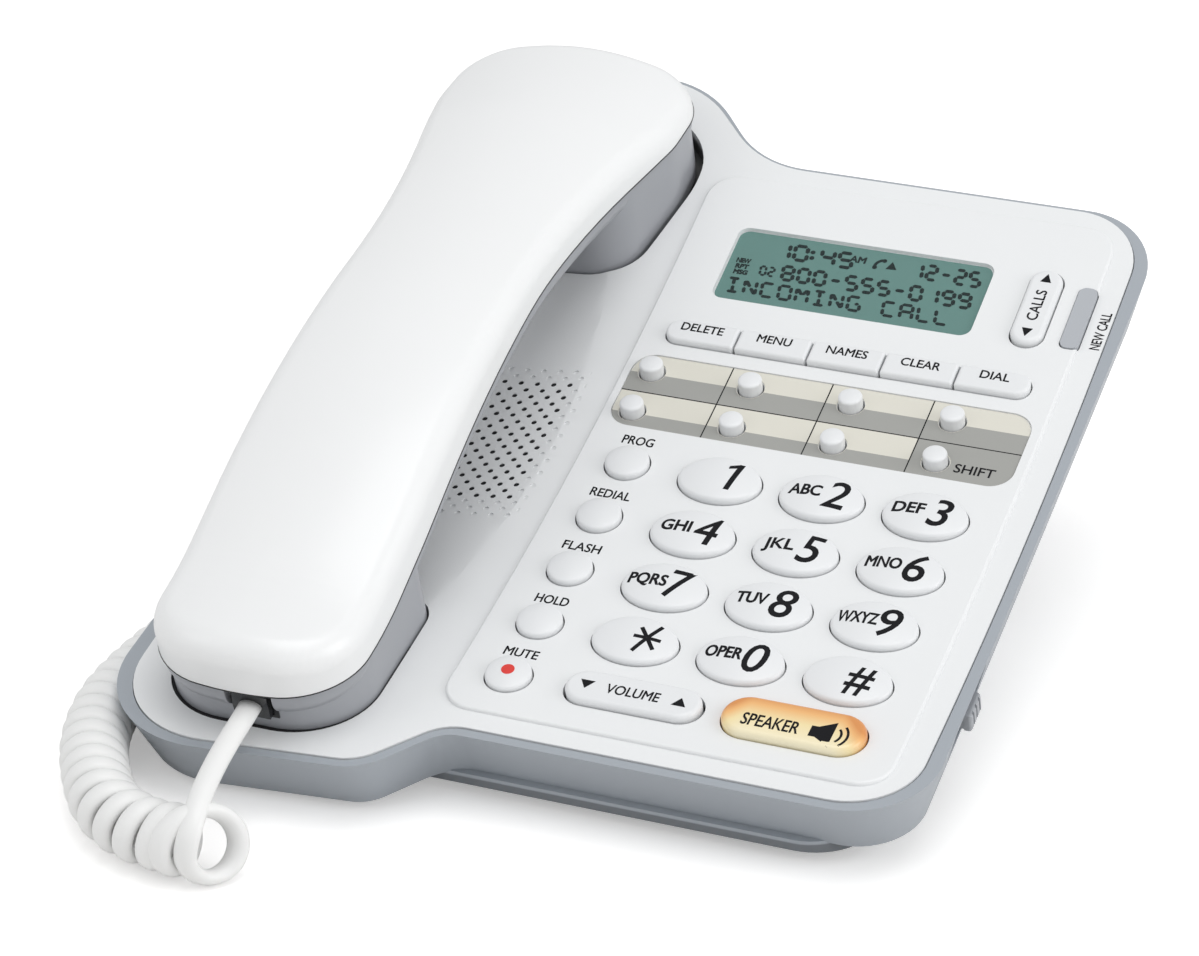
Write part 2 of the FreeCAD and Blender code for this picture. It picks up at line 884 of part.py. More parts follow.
def notch_block(length, grow=0.0):
    face = handset_front + cup_inset + notch_depth
    half = jack_width / 2 + grow
    tall = jack_height / 2 + grow
    return block(
        handset_jack_x - half, face, handset_jack_z - tall,
        handset_jack_x + half, face + length, handset_jack_z + tall,
    )


def handset_jack():
    end = handset_plug_end()
    half = plug_width / 2 + seam
    tall = plug_height / 2 + seam
    mouth = block(end.x - half, end.y - 5, end.z - tall, end.x + half, end.y + plug_length, end.z + tall)
    return notch_block(jack_length).cut(mouth)


def crown(lift, top_inset, half=44.0):
    # everything under the handset's crowned back
    y, z, _ = crest[0]
    y_next, z_next, _ = crest[1]
    z = z - top_inset
    radius = crown_radius - top_inset
    side = radius - math.sqrt(radius ** 2 - half ** 2)
    top = V(handset_x, y, z)
    left = V(handset_x - half, y, z - side)
    right = V(handset_x + half, y, z - side)
    low_left = V(handset_x - half, y, z - lift)
    low_right = V(handset_x + half, y, z - lift)
    section = Part.Wire([
        Part.Arc(left, top, right).toShape(),
        Part.LineSegment(right, low_right).toShape(),
        Part.LineSegment(low_right, low_left).toShape(),
        Part.LineSegment(low_left, left).toShape(),
    ])
    spine = side_path(crest, -top_inset, handset_x)
    lean = math.degrees(math.atan2(z_next - top_inset - z, y_next - y))
    section.rotate(top, X_AXIS, lean)
    return spine.makePipeShell([section], True, False)


def shell_blank(inset, edge):
    solid = crown(42.0, inset).common(prism(handset_outline(inset)))
    solid = solid.cut(along_parting(-parting_skip(inset), -60))
    rims = []
    for e in solid.Edges:
        points = e.discretize(7)
        middle = points[3]
        if min(p.z for p in points) < parting_z(middle.y) + 2.5:
            continue
        at_end = middle.y < handset_front + 12 or middle.y > handset_rear - 14
        if abs(middle.x - handset_x) > 14 or at_end:
            rims.append(e)
    return solid.makeFillet(edge, rims)


def parting_skip(inset):
    return 0.0 if inset == 0 else 1.5


def handset_top_shell():
    outer = shell_blank(0.0, shell_edge)
    inner = shell_blank(shell_wall, shell_edge - shell_wall)
    shell = outer.cut(inner)
    bosses = []
    for y in handset_screw_y:
        boss = round_layer(handset_x, y, boss_radius, -45, pocket_depth - cup_clearance - shell_wall)
        bosses.append(boss.common(outer.fuse(along_parting(0.5, -60))))
    shell = join(shell, *bosses)
    holes = [round_layer(handset_x, y, screw_hole, -8, 20) for y in handset_screw_y]
    return shell.cut(holes)


def lower_blank(inset):
    floor = pocket_depth - cup_clearance - inset
    cups = []
    for plan in cup_outlines():
        cup = layer(grown(plan, -inset), -60, floor)
        low = [e for e in cup.Edges if max(p.z - face_height(p.y) for p in e.discretize(5)) < 0]
        cups.append(cup.makeFillet(max(cup_edge - inset, 0.6), low))
    grip = prism(handset_outline(parting_step + inset)).common(along_parting(40, -grip_depth + inset))
    low = []
    for e in grip.Edges:
        points = e.discretize(5)
        if all(p.z < parting_z(p.y) - grip_depth + inset + 0.2 for p in points):
            if abs(points[2].x - handset_x) > 14:
                low.append(e)
    grip = grip.makeFillet(max(grip_edge - inset, 1.0), low)
    return join(grip, *cups)


def handset_bottom_shell():
    lid = along_parting(60, 0)
    outer = lower_blank(0.0).cut(lid)
    inner = lower_blank(shell_wall)
    shell = outer.cut(inner)
    cuts = [notch_block(jack_length - 0.0).fuse(notch_block(8).translated(V(0, -7.5, 0)))]
    for y in handset_screw_y:
        cuts.append(round_layer(handset_x, y, screw_hole, 0, 20))
        cuts.append(round_layer(handset_x, y, screw_head + 0.2, pocket_depth - cup_clearance - 1.2, 20))
    for k in range(6):
        turn = math.radians(60 * k)
        hole_x = handset_x + 5.5 * math.cos(turn)
        hole_y = ear_piece_y + 5.5 * math.sin(turn)
        cuts.append(Part.makeCylinder(1.1, 16, V(hole_x, hole_y, -8), Z_AXIS))
    cuts.append(Part.makeCylinder(1.1, 16, V(handset_x, ear_piece_y, -8), Z_AXIS))
    cuts.append(Part.makeCylinder(0.9, 16, V(handset_x, mouth_piece_y, -8), Z_AXIS))
    return shell.cut(cuts)


def capsule(y, radius, height):
    floor = pocket_depth - cup_clearance - shell_wall
    return round_layer(handset_x, y, radius, floor - height, floor)


def screw(x, y, head_depth, head_height, tip_depth):
    shank = round_layer(x, y, screw_radius, tip_depth, head_depth + 0.2)
    head = round_layer(x, y, screw_head, head_depth, head_depth + head_height)
    slot = block(x - 3.2, y - 0.4, -40, x + 3.2, y + 0.4, 40).common(
        band(head_depth + head_height - 0.7, head_depth + head_height + 3)
    )
    return join(shank, head).cut(slot)


def press_solid(column, wide, x, y, rise, dome, edge):
    # a key: domed cap, flange under the cover, stem down to the mat
    cap = column.common(band(-rise - 1.5, cover_depth() + key_gap + flange_thick, y - 30, y + 30))
    if dome:
        ball = Part.makeSphere(dome, V(x, y, face_height(y) + rise - dome), V(-1, 0, 0))
        cap = cap.common(ball)
    else:
        cap = cap.common(band(-rise, 30, y - 30, y + 30))
    cap = cap.makeFillet(edge, top_edges(cap, 0.15))
    flange_top = cover_depth() + key_gap
    flange = wide.common(band(flange_top, flange_top + flange_thick, y - 30, y + 30))
    stem = Part.makeCylinder(2.0, 8, V(x, y, stem_end), Z_AXIS)
    stem = stem.common(band(cover_depth() + key_gap + 0.2, 60, y - 30, y + 30))
    return join(cap, flange, stem)


def ellipse_column(x, y, half_x, half_y):
    ellipse = Part.Ellipse(V(x, y, -40), half_x, half_y).toShape()
    return Part.Face(Part.Wire([ellipse])).extrude(V(0, 0, 80))


def round_column(x, y, radius):
    return Part.makeCylinder(radius, 80, V(x, y, -40), Z_AXIS)


def oval_key(x, y):
    column = ellipse_column(x, y, key_half_x - key_gap, key_half_y - key_gap)
    wide = ellipse_column(x, y, key_half_x - key_gap + key_flange, key_half_y - key_gap + key_flange)
    return press_solid(column, wide, x, y, key_rise, key_dome, key_edge)


def round_key(x, y, radius, rise, dome, edge):
    column = round_column(x, y, radius - key_gap)
    wide = round_column(x, y, radius - key_gap + key_flange)
    return press_solid(column, wide, x, y, rise, dome, edge)


def soft_key(left, right, first, last):
    inner = soft_gap / 2
    low = soft_y - soft_height / 2 + key_gap
    high = soft_y + soft_height / 2 - key_gap
    x = (left + right) / 2
    start = left + (key_gap if first else inner)
    end = right - (key_gap if last else inner)
    round_end = 2.9
    square = 0.5
    corners = [
        (end, low, round_end if last else square),
        (end, high, round_end if last else square),
        (start, high, round_end if first else square),
        (start, low, round_end if first else square),
    ]
    wide = box_corners(start + 0.6, low - key_flange, end - 0.6, high + key_flange, 0.6)
    return press_solid(prism(corners, -40, 40), prism(wide, -40, 40), x, soft_y, soft_rise, None, 0.7)


def rocker(x, y, length, height, rise, along_x):
    column = prism(pill(x, y, length - 2 * key_gap - 2 * rocker_play, height - 2 * key_gap, along_x), -40, 40)
    half_x = 3.0 if along_x else height / 2 + 0.7
    half_y = height / 2 + 0.7 if along_x else 3.0
    wide = prism(box_corners(x - half_x, y - half_y, x + half_x, y + half_y, 0.5), -40, 40)
    level = face_height(y) - rocker_axis
    if along_x:
        pin = Part.makeCylinder(rocker_pin, 2 * half_y + 2, V(x, y - half_y - 1, level), Y_AXIS)
    else:
        pin = Part.makeCylinder(rocker_pin, 2 * half_x + 2, V(x - half_x - 1, y, level), X_AXIS)
    return join(press_solid(column, wide, x, y, rise, None, 1.0), pin)


def pill_key(x, y, length, height, rise):
    column = prism(pill(x, y, length - 2 * key_gap, height - 2 * key_gap), -40, 40)
    wide = prism(pill(x, y, length - 2 * key_gap + 2, height - 2 * key_gap + 2), -40, 40)
    return press_solid(column, wide, x, y, rise, None, 1.2)


def lcd_window():
    return layer(window_corners(seam), window_sink, window_sink + window_wall)


def lcd_module():
    top = window_sink + window_wall
    glass = layer(window_corners(1.2 + seam), top, cover_depth() + 0.6)
    frame = layer(window_corners(-2.5), cover_depth(), cover_depth() + 3.2)
    legs = []
    leg_top = face_height(lcd_low) - cover_depth() - 1
    for x in (lcd_left - 1.0, lcd_right - 3.0):
        legs.append(block(x, lcd_low - 1.0, board_top, x + 4.0, lcd_low + 5.0, leg_top))
    return join(glass, frame, *legs)


def call_light_lens():
    body = layer(light_corners(seam), -0.3, cover_depth() + 0.5)
    flange = layer(light_corners(-0.8), cover_depth(), cover_depth() + 1.0)
    return join(body, flange)


def directory_card():
    card = layer(card_corners(seam), card_sink - card_wall, card_sink)
    return card.cut([round_layer(x, y, card_hole, -5, 5) for x, y in memory_places()])


def main_board():
    return block(board_left, board_low, board_top - board_wall, board_right, board_high, board_top)


def keypad_mat():
    return block(board_left + 3, board_low + 0.5, board_top, board_right - 2, 44.0, board_top + mat_wall)


def loudspeaker():
    rim = Part.makeCylinder(speaker_radius, 1.2, V(speaker_x, 0, speaker_top - 1.2), Z_AXIS)
    cone = Part.makeCone(9.0, 15.0, 4.0, V(speaker_x, 0, speaker_top - 5.2), Z_AXIS)
    magnet = Part.makeCylinder(11.0, 3.0, V(speaker_x, 0, speaker_top - speaker_height - 1.0), Z_AXIS)
    dish = Part.makeCone(7.0, 13.5, 3.2, V(speaker_x, 0, speaker_top - 3.2), Z_AXIS)
    return join(rim, cone, magnet).cut(dish)


def hook_switch():
    top = pocket_depth + 0.1
    stem = block(handset_x - 4.1, hook_y - 2.6, -40, handset_x + 4.1, hook_y + 2.6, 40)
    stem = stem.common(band(top, slab_bottom() - floor_wall - 0.3))
    rise = pocket_depth + cover_wall * 0.8 + key_gap + hook_rise
    foot = block(handset_x - 6.4, hook_y - 4.6, -40, handset_x + 6.4, hook_y + 4.6, 40)
    foot = foot.common(band(rise, slab_bottom() - floor_wall - 0.3))
    return join(stem, foot)


def ringer_switch():
    wall_x = cover_right + ledge + ringer_z * math.tan(math.radians(side_draft))
    half = knob_length / 2
    tall = knob_height / 2
    knob = block(
        wall_x - ringer_scoop_depth + 1.4, ringer_y - half, ringer_z - tall,
        wall_x + knob_out, ringer_y + half, ringer_z + tall,
    )
    outer = [e for e in knob.Edges if min(p.x for p in e.discretize(3)) > wall_x + knob_out - 0.01]
    knob = knob.makeFillet(0.8, outer)
    neck = block(wall_x - 6.6, ringer_y - 3.2, ringer_z - 1.8, wall_x + 1.0, ringer_y + 3.2, ringer_z + 1.8)
    keeper = block(wall_x - 6.6, ringer_y - 4.6, ringer_z - 2.8, wall_x - 5.2, ringer_y + 4.6, ringer_z + 2.8)
    grooves = []
    for k in (-1, 0, 1):
        y = ringer_y + k * 1.9
        near = wall_x + knob_out - 0.4
        grooves.append(block(near, y - 0.35, ringer_z - tall, wall_x + 9, y + 0.35, ringer_z + tall))
    return join(knob, neck, keeper).cut(grooves)


def battery_door():
    low = desk_gap
    high = desk_gap + door_wall
    rear = belly[1][1] - 0.2
    half = bay_half - door_gap
    plate = block(-half, bay_low + door_gap, low, half, rear, high)
    wide = half + door_tongue
    tongue = block(-wide, bay_low + door_gap, low + door_wall / 2, wide, rear, high)
    ribs = []
    for k in range(5):
        y = rear - 9 + k * 1.8
        ribs.append(block(-12, y, low - 1, 12, y + 0.9, low + 0.5))
    return join(plate, tongue).cut(ribs)


def batteries():
    cells = []
    z = bay_top - cell_radius - 0.25
    for k in range(cell_count):
        x = (k - (cell_count - 1) / 2) * cell_pitch
        near = bay_low if k % 2 else bay_low + 1.0
        tube = Part.makeCylinder(cell_radius, cell_length - 1.0, V(x, near, z), Y_AXIS)
        nub_y = bay_low + cell_length - 1.5 if k % 2 else bay_low
        nub = Part.makeCylinder(2.7, 1.5, V(x, nub_y, z), Y_AXIS)
        cells.append(join(tube, nub))
    return Part.makeCompound(cells)


def desk_stand():
    plan = box_corners(stand_left, stand_front, stand_right, stand_rear, stand_corner)
    under = seat(band(slab_bottom(), slab_bottom() + 90))
    outer = Part.Face(rounded(plan, desk_gap)).extrude(V(0, 0, 90)).common(under)
    inner = Part.Face(rounded(grown(plan, -stand_wall), desk_gap + stand_wall)).extrude(V(0, 0, 90))
    stand = outer.cut(inner)
    pads = [Part.makeCylinder(pad_radius, pad_sink, V(x, y, desk_gap), Z_AXIS) for x, y in pad_places()[2:]]
    return stand.cut(pads)


def rubber_feet():
    feet = []
    for x, y in pad_places():
        foot = Part.makeCylinder(pad_radius, desk_gap + pad_sink, V(x, y, 0), Z_AXIS)
        low = [e for e in foot.Edges if max(p.z for p in e.discretize(4)) < 0.01]
        feet.append(foot.makeFillet(0.6, low))
    return Part.makeCompound(feet)


def base_screws():
    return Part.makeCompound([screw(x, y, slab_bottom() - 0.6, 1.6, 7.0) for x, y in boss_places()])


def handset_screws():
    deep = pocket_depth - cup_clearance - 1.2
    return Part.makeCompound([screw(handset_x, y, deep, 1.0, -4.0) for y in handset_screw_y])


def bench(point):
    return seat(Part.Vertex(point)).Vertexes[0].Point


def biarc(start, start_way, end, end_way):
    # two arcs that leave one point and reach the other along the given ways
    span = end - start
    ways = start_way + end_way
    slack = 2 * (1 - start_way.dot(end_way))
    along = span.dot(ways)
    if slack < 1e-9:
        if span.cross(start_way).Length < 1e-6:
            return [Part.LineSegment(start, end).toShape()]
        reach_out = span.dot(span) / (4 * span.dot(end_way))
    else:
        reach_out = (math.sqrt(along ** 2 + slack * span.dot(span)) - along) / slack
    first = start + start_way * reach_out
    second = end - end_way * reach_out
    joint = (first + second) * 0.5
    return [tangent_arc(start, first, joint), tangent_arc(joint, second, end)]


def tangent_arc(start, corner, end):
    chord = (start + end) * 0.5
    rise = corner - chord
    half = start.distanceToPoint(end) / 2
    if rise.Length < 1e-6:
        return Part.LineSegment(start, end).toShape()
    sag = half * math.tan(math.atan2(rise.Length, half) / 2)
    return Part.Arc(start, chord + rise.normalize() * sag, end).toShape()


def coil_stations():
    # points along the coil's centre line with their distance from its start
    line = Part.BSplineCurve()
    line.interpolate([V(*p) for p in coil_route])
    points = line.toShape().discretize(1601)
    stations = [(0.0, points[0])]
    for before, after in zip(points, points[1:]):
        stations.append((stations[-1][0] + before.distanceToPoint(after), after))
    return stations


def station(stations, distance):
    low = 0
    high = len(stations) - 1
    while high - low > 1:
        middle = (low + high) // 2
        if stations[middle][0] > distance:
            high = middle
        else:
            low = middle
    share = (distance - stations[low][0]) / (stations[high][0] - stations[low][0])
    here = stations[low][1] * (1 - share) + stations[high][1] * share
    way = (stations[min(high + 2, len(stations) - 1)][1] - stations[max(low - 2, 0)][1]).normalize()
    return here, way


def curl_point(stations, turn):
    # turn counts curls from the coil's start
    fade = max(0.0, 1 - turn / first_fade)
    fade = fade * fade * (3 - 2 * fade)
    first = min(turn, 1.0)
    distance = turn * curl_pitch + (first_pitch - curl_pitch) * first
    here, way = station(stations, distance)
    flat = V(way.x, way.y, 0).normalize()
    skew = math.radians(first_skew) * fade
    right = V(flat.y, -flat.x, 0) * math.cos(skew) - flat * math.sin(skew)
    radius = curl_radius + (first_radius - curl_radius) * fade
    angle = math.radians(curl_start) + 2 * math.pi * turn
    return here + right * (radius * math.cos(angle)) + Z_AXIS * (radius * math.sin(angle))


def passed(points):
    # each inner point of a lead, with the way from the point before it to the one after
    return [(points[i], (points[i + 1] - points[i - 1]).normalize()) for i in range(1, len(points) - 1)]


def wire_stops():
    # every point that the wire passes with its way there
    near = bench(handset_plug_end())
    near_way = (bench(V(0, -1, 0)) - bench(V(0, 0, 0))).normalize()
    far = bench(base_plug_end())
    far_way = V(1, 0, 0)
    stations = coil_stations()
    curls = []
    steps = int(curl_count * 4)
    for k in range(steps + 1):
        turn = k / 4
        here = curl_point(stations, turn)
        ahead = curl_point(stations, turn + 0.001)
        behind = curl_point(stations, max(turn - 0.001, 0.0))
        curls.append((here, (ahead - behind).normalize()))
    lead_in = [near + near_way * cord_wire] + [V(*p) for p in front_lead] + [curls[0][0]]
    lead_out = [curls[-1][0]] + [V(*p) for p in rear_lead] + [far - far_way * cord_wire]
    stops = [(near, near_way), (lead_in[0], near_way)]
    stops += passed(lead_in) + curls + passed(lead_out)
    stops += [(lead_out[-1], far_way), (far, far_way)]
    return stops


def curly_cord():
    stops = wire_stops()
    edges = []
    for (start, start_way), (end, end_way) in zip(stops, stops[1:]):
        edges += biarc(start, start_way, end, end_way)
    radii = [e.Curve.Radius for e in edges if hasattr(e.Curve, "Radius")]
    path = Part.Wire(edges)
    points = path.discretize(int(path.Length / 0.5))
    apart = 0.5 * math.pi * curl_radius
    least = 1e9
    for i, here in enumerate(points):
        for other in points[i + int(apart / 0.5) + 8:i + 260]:
            least = min(least, here.distanceToPoint(other))
    print("cord length", round(path.Length, 1), "arcs", len(radii), "least radius", round(min(radii), 2))
    lowest = min(p.z for p in points) - cord_wire / 2
    print("cord least gap to itself", round(least - cord_wire, 2), "lowest", round(lowest, 2))
    section = Part.Wire([Part.Circle(stops[0][0], stops[0][1], cord_wire / 2).toShape()])
    tube = path.makePipeShell([section], True, False)
    share = tube.Volume / (path.Length * math.pi * cord_wire ** 2 / 4)
    print("cord volume against section x length", round(share, 4))
    return tube


def pieces():
    # every node with its shape, the slab's own parts already seated
    slab = {
        "top_cover": top_cover(),
        "lcd_window": lcd_window(),
        "lcd_module": lcd_module(),
        "call_light_lens": call_light_lens(),
        "directory_card": directory_card(),
        "main_board": main_board(),
        "keypad_mat": keypad_mat(),
        "loudspeaker": loudspeaker(),
        "base_jacks": base_jacks(),
        "base_screws": base_screws(),
        "hook_switch": hook_switch(),
        "ringer_switch": ringer_switch(),
        "volume_rocker": rocker(volume_x, volume_y, volume_length, volume_height, volume_rise, True),
        "call_list_rocker": rocker(list_x, list_y, list_length, list_width, list_rise, False),
        "speaker_key": pill_key(
            speaker_key_x, speaker_key_y, speaker_key_length, speaker_key_height, speaker_key_rise
        ),
        "handset_top_shell": handset_top_shell(),
        "handset_bottom_shell": handset_bottom_shell(),
        "earpiece_capsule": capsule(ear_piece_y, 14.0, 5.0),
        "microphone_capsule": capsule(mouth_piece_y, 4.85, 5.0),
        "handset_jack": handset_jack(),
        "handset_screws": handset_screws(),
        "handset_plug": handset_plug(),
        "base_plug": base_plug(),
    }
    for name, (x, y) in zip(digit_names, key_places()):
        slab["key_" + name] = oval_key(x, y)
    for name, (x, y) in zip(function_names, function_places()):
        slab["key_" + name] = round_key(x, y, function_radius, function_rise, 18.0, 0.7)
    for i, (x, y) in enumerate(memory_places()):
        slab["memory_button_" + str(i + 1)] = round_key(x, y, memory_radius, memory_rise, 9.0, 0.6)
    for i, (left, right) in enumerate(soft_places()):
        slab["soft_key_" + str(i + 1)] = soft_key(left, right, i == 0, i == soft_count - 1)
    nodes = {name: seat(shape) for name, shape in slab.items()}
    nodes["bottom_housing"] = bottom_housing()
    nodes["desk_stand"] = desk_stand()
    nodes["battery_door"] = battery_door()
    nodes["batteries"] = batteries()
    nodes["rubber_feet"] = rubber_feet()
    nodes["curly_cord"] = curly_cord()
    return nodes


cord_nodes = ("curly_cord", "handset_plug", "base_plug")


def middle_of(nodes):
    # the object stands on z = 0; its box is centred without the cord
    box = FreeCAD.BoundBox()
    for name, shape in nodes.items():
        if name not in cord_nodes:
            box.add(shape.optimalBoundingBox(False))
    return V((box.XMin + box.XMax) / 2, (box.YMin + box.YMax) / 2, box.ZMin)


if __name__ == "__main__":
    os.makedirs("parts", exist_ok=True)
    made = pieces()
    middle = middle_of(made)
    for node, shape in made.items():
        placed = shape.copy()
        placed.translate(middle * -1)
        placed.exportStep("parts/" + node + ".step")
        if not placed.isValid():
            print(node, "is not valid")
    print("origin was", [round(v, 3) for v in middle], "nodes", len(made))
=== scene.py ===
import json
import math
import bpy
import bmesh
from mathutils import Matrix, Vector
from mathutils.bvhtree import BVHTree


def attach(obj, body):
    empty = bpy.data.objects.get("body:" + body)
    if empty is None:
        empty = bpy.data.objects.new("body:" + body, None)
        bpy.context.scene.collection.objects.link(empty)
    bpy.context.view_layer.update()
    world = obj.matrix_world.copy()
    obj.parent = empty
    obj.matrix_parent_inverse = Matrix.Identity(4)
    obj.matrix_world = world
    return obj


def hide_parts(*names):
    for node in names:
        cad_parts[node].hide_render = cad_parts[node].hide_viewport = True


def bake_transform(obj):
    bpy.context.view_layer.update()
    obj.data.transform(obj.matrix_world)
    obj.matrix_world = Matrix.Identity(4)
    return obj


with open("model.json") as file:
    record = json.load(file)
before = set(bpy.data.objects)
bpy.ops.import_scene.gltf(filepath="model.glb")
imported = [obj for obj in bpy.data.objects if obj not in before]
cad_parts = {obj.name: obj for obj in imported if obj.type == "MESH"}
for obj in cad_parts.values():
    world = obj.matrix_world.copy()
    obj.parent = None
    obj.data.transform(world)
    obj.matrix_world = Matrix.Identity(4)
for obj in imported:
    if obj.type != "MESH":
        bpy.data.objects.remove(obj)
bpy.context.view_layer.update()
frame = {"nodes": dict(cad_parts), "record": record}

# The slab's own frame: mm, X right, Y up the slope, Z out of the face.
slab = {
    "tilt": 17.8,
    "lift": 39.5,
    "faceRadius": 687.5,
    "middle": (-1.996, 2.442),
}
toRow = (
    Matrix.Scale(0.001, 4)
    @ Matrix.Translation((-slab["middle"][0], -slab["middle"][1], 0))
    @ Matrix.Translation((0, 0, slab["lift"]))
    @ Matrix.Rotation(math.radians(slab["tilt"]), 4, "X")
)
toSlab = toRow.inverted()
benchToRow = Matrix.Scale(0.001, 4) @ Matrix.Translation((-slab["middle"][0], -slab["middle"][1], 0))


def faceHeight(y):
    return slab["faceRadius"] - math.sqrt(slab["faceRadius"] ** 2 - y * y)


def addObject(name, mesh, body, material):
    piece = bpy.data.objects.new(name, mesh)
    bpy.context.scene.collection.objects.link(piece)
    mesh.materials.clear()
    mesh.materials.append(material)
    if body:
        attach(piece, body)
    return piece


def plainMesh(data, name, finishOff=None):
    # the evaluated mesh of a curve, a text or a mesh with modifiers
    holder = bpy.data.objects.new(name, data)
    bpy.context.scene.collection.objects.link(holder)
    if finishOff:
        finishOff(holder)
    bpy.context.view_layer.update()
    graph = bpy.context.evaluated_depsgraph_get()
    mesh = bpy.data.meshes.new_from_object(holder.evaluated_get(graph))
    bpy.data.objects.remove(holder)
    mesh.name = name
    return mesh


def meshFrom(bm, name):
    mesh = bpy.data.meshes.new(name)
    bm.to_mesh(mesh)
    bm.free()
    return mesh


# Camera, at the photograph's angle
view = {
    "place": (0.2762, -0.72794, 0.4193),
    "forward": (-0.3301, 0.8337, -0.4427),
    "lens": 125.8,
}
cameraData = bpy.data.cameras.new("photoCamera")
cameraData.lens = view["lens"]
cameraData.sensor_width = 36
cameraData.sensor_fit = "HORIZONTAL"
cameraData.clip_end = 50
camera = bpy.data.objects.new("photoCamera", cameraData)
camera.location = view["place"]
camera.rotation_euler = Vector(view["forward"]).to_track_quat("-Z", "Y").to_euler()
bpy.context.scene.collection.objects.link(camera)
bpy.context.scene.camera = camera
print("camera set")


# Shader groups, each built once
floatKind, colourKind = "NodeSocketFloat", "NodeSocketColor"


def newGroup(name, inputs, outputs):
    group = bpy.data.node_groups.new(name, "ShaderNodeTree")
    for label, kind, value in inputs:
        socket = group.interface.new_socket(label, in_out="INPUT", socket_type=kind)
        if value is not None:
            socket.default_value = value
    for label, kind in outputs:
        group.interface.new_socket(label, in_out="OUTPUT", socket_type=kind)
    enter = group.nodes.new("NodeGroupInput")
    leave = group.nodes.new("NodeGroupOutput")
    return group, enter, leave


def mathNode(tree, operation, first, second, clamp=False):
    node = tree.nodes.new("ShaderNodeMath")
    node.operation = operation
    node.use_clamp = clamp
    for socket, value in zip(node.inputs, (first, second)):
        if isinstance(value, (int, float)):
            socket.default_value = value
        else:
            tree.links.new(value, socket)
    return node.outputs[0]


def noise(tree, place, size, detail):
    node = tree.nodes.new("ShaderNodeTexNoise")
    node.inputs["Scale"].default_value = size
    node.inputs["Detail"].default_value = detail
    tree.links.new(place.outputs["Object"], node.inputs["Vector"])
    return node


def scaled(tree, colour, share):
    tone = tree.nodes.new("ShaderNodeVectorMath")
    tone.operation = "SCALE"
    tree.links.new(colour, tone.inputs[0])
    tree.links.new(share, tone.inputs["Scale"])
    return tone.outputs[0]


def mouldedGroup():
    # fine spark-eroded grain, a slow drift in tone and a few soft handling marks
    group, enter, leave = newGroup(
        "mouldedGrain",
        [
            ("Color", colourKind, (0.8, 0.8, 0.8, 1)),
            ("Grain Size", floatKind, 2600.0),
            ("Tone Drift", floatKind, 0.04),
            ("Roughness", floatKind, 0.4),
            ("Roughness Drift", floatKind, 0.08),
        ],
        [("Color", colourKind), ("Roughness", floatKind), ("Height", floatKind)],
    )
    links = group.links
    place = group.nodes.new("ShaderNodeTexCoord")
    grain = noise(group, place, 5, 3)
    links.new(enter.outputs["Grain Size"], grain.inputs["Scale"])
    slow = mathNode(group, "SUBTRACT", noise(group, place, 22, 4).outputs["Fac"], 0.5)
    drift = mathNode(group, "MULTIPLY", slow, enter.outputs["Tone Drift"])
    uneven = mathNode(group, "SUBTRACT", noise(group, place, 160, 6).outputs["Fac"], 0.5)
    wide = mathNode(group, "MULTIPLY", uneven, enter.outputs["Roughness Drift"])
    bright = mathNode(group, "ADD", drift, 1.0)
    links.new(scaled(group, enter.outputs["Color"], bright), leave.inputs["Color"])
    links.new(mathNode(group, "ADD", wide, enter.outputs["Roughness"], True), leave.inputs["Roughness"])
    links.new(grain.outputs["Fac"], leave.inputs["Height"])
    return group


def slabAxis(tree, way, shift):
    # one of the slab's own coordinates, in mm, from the piece's place in the row
    place = tree.nodes.new("ShaderNodeTexCoord")
    dot = tree.nodes.new("ShaderNodeVectorMath")
    dot.operation = "DOT_PRODUCT"
    dot.inputs[1].default_value = way
    tree.links.new(place.outputs["Object"], dot.inputs[0])
    return mathNode(tree, "ADD", dot.outputs["Value"], shift)


def slabAxes(tree):
    return [slabAxis(tree, toSlab[axis][:3], toSlab[axis][3]) for axis in range(3)]


def stepBetween(tree, value, start, end):
    # 0 before start, 1 after end, smooth between
    step = tree.nodes.new("ShaderNodeMapRange")
    step.interpolation_type = "SMOOTHSTEP"
    for label, link in (("Value", value), ("From Min", start), ("From Max", end)):
        if isinstance(link, (int, float)):
            step.inputs[label].default_value = link
        else:
            tree.links.new(link, step.inputs[label])
    return step.outputs["Result"]


# Where the cover's painted shade goes: outside the finger valley in Y, and on the keypad's panel in X
recesses = {"pocketMiddle": 7.0, "pocketEdge": (58.5, 63.5), "panelEdge": (-18.0, -15.0)}


def faceDepth(group, y, z):
    # how far a place lies under the hollow face, in mm
    hollow = mathNode(group, "DIVIDE", mathNode(group, "MULTIPLY", y, y), 2 * slab["faceRadius"])
    return mathNode(group, "SUBTRACT", hollow, z)


def dim(group, enter, leave, shade):
    # puts out the group's colour, less a share of it: the painted shade
    less = mathNode(group, "MULTIPLY", shade, enter.outputs["Darkening"])
    left = mathNode(group, "SUBTRACT", 1.0, less)
    group.links.new(scaled(group, enter.outputs["Color"], left), leave.inputs["Color"])
    return group


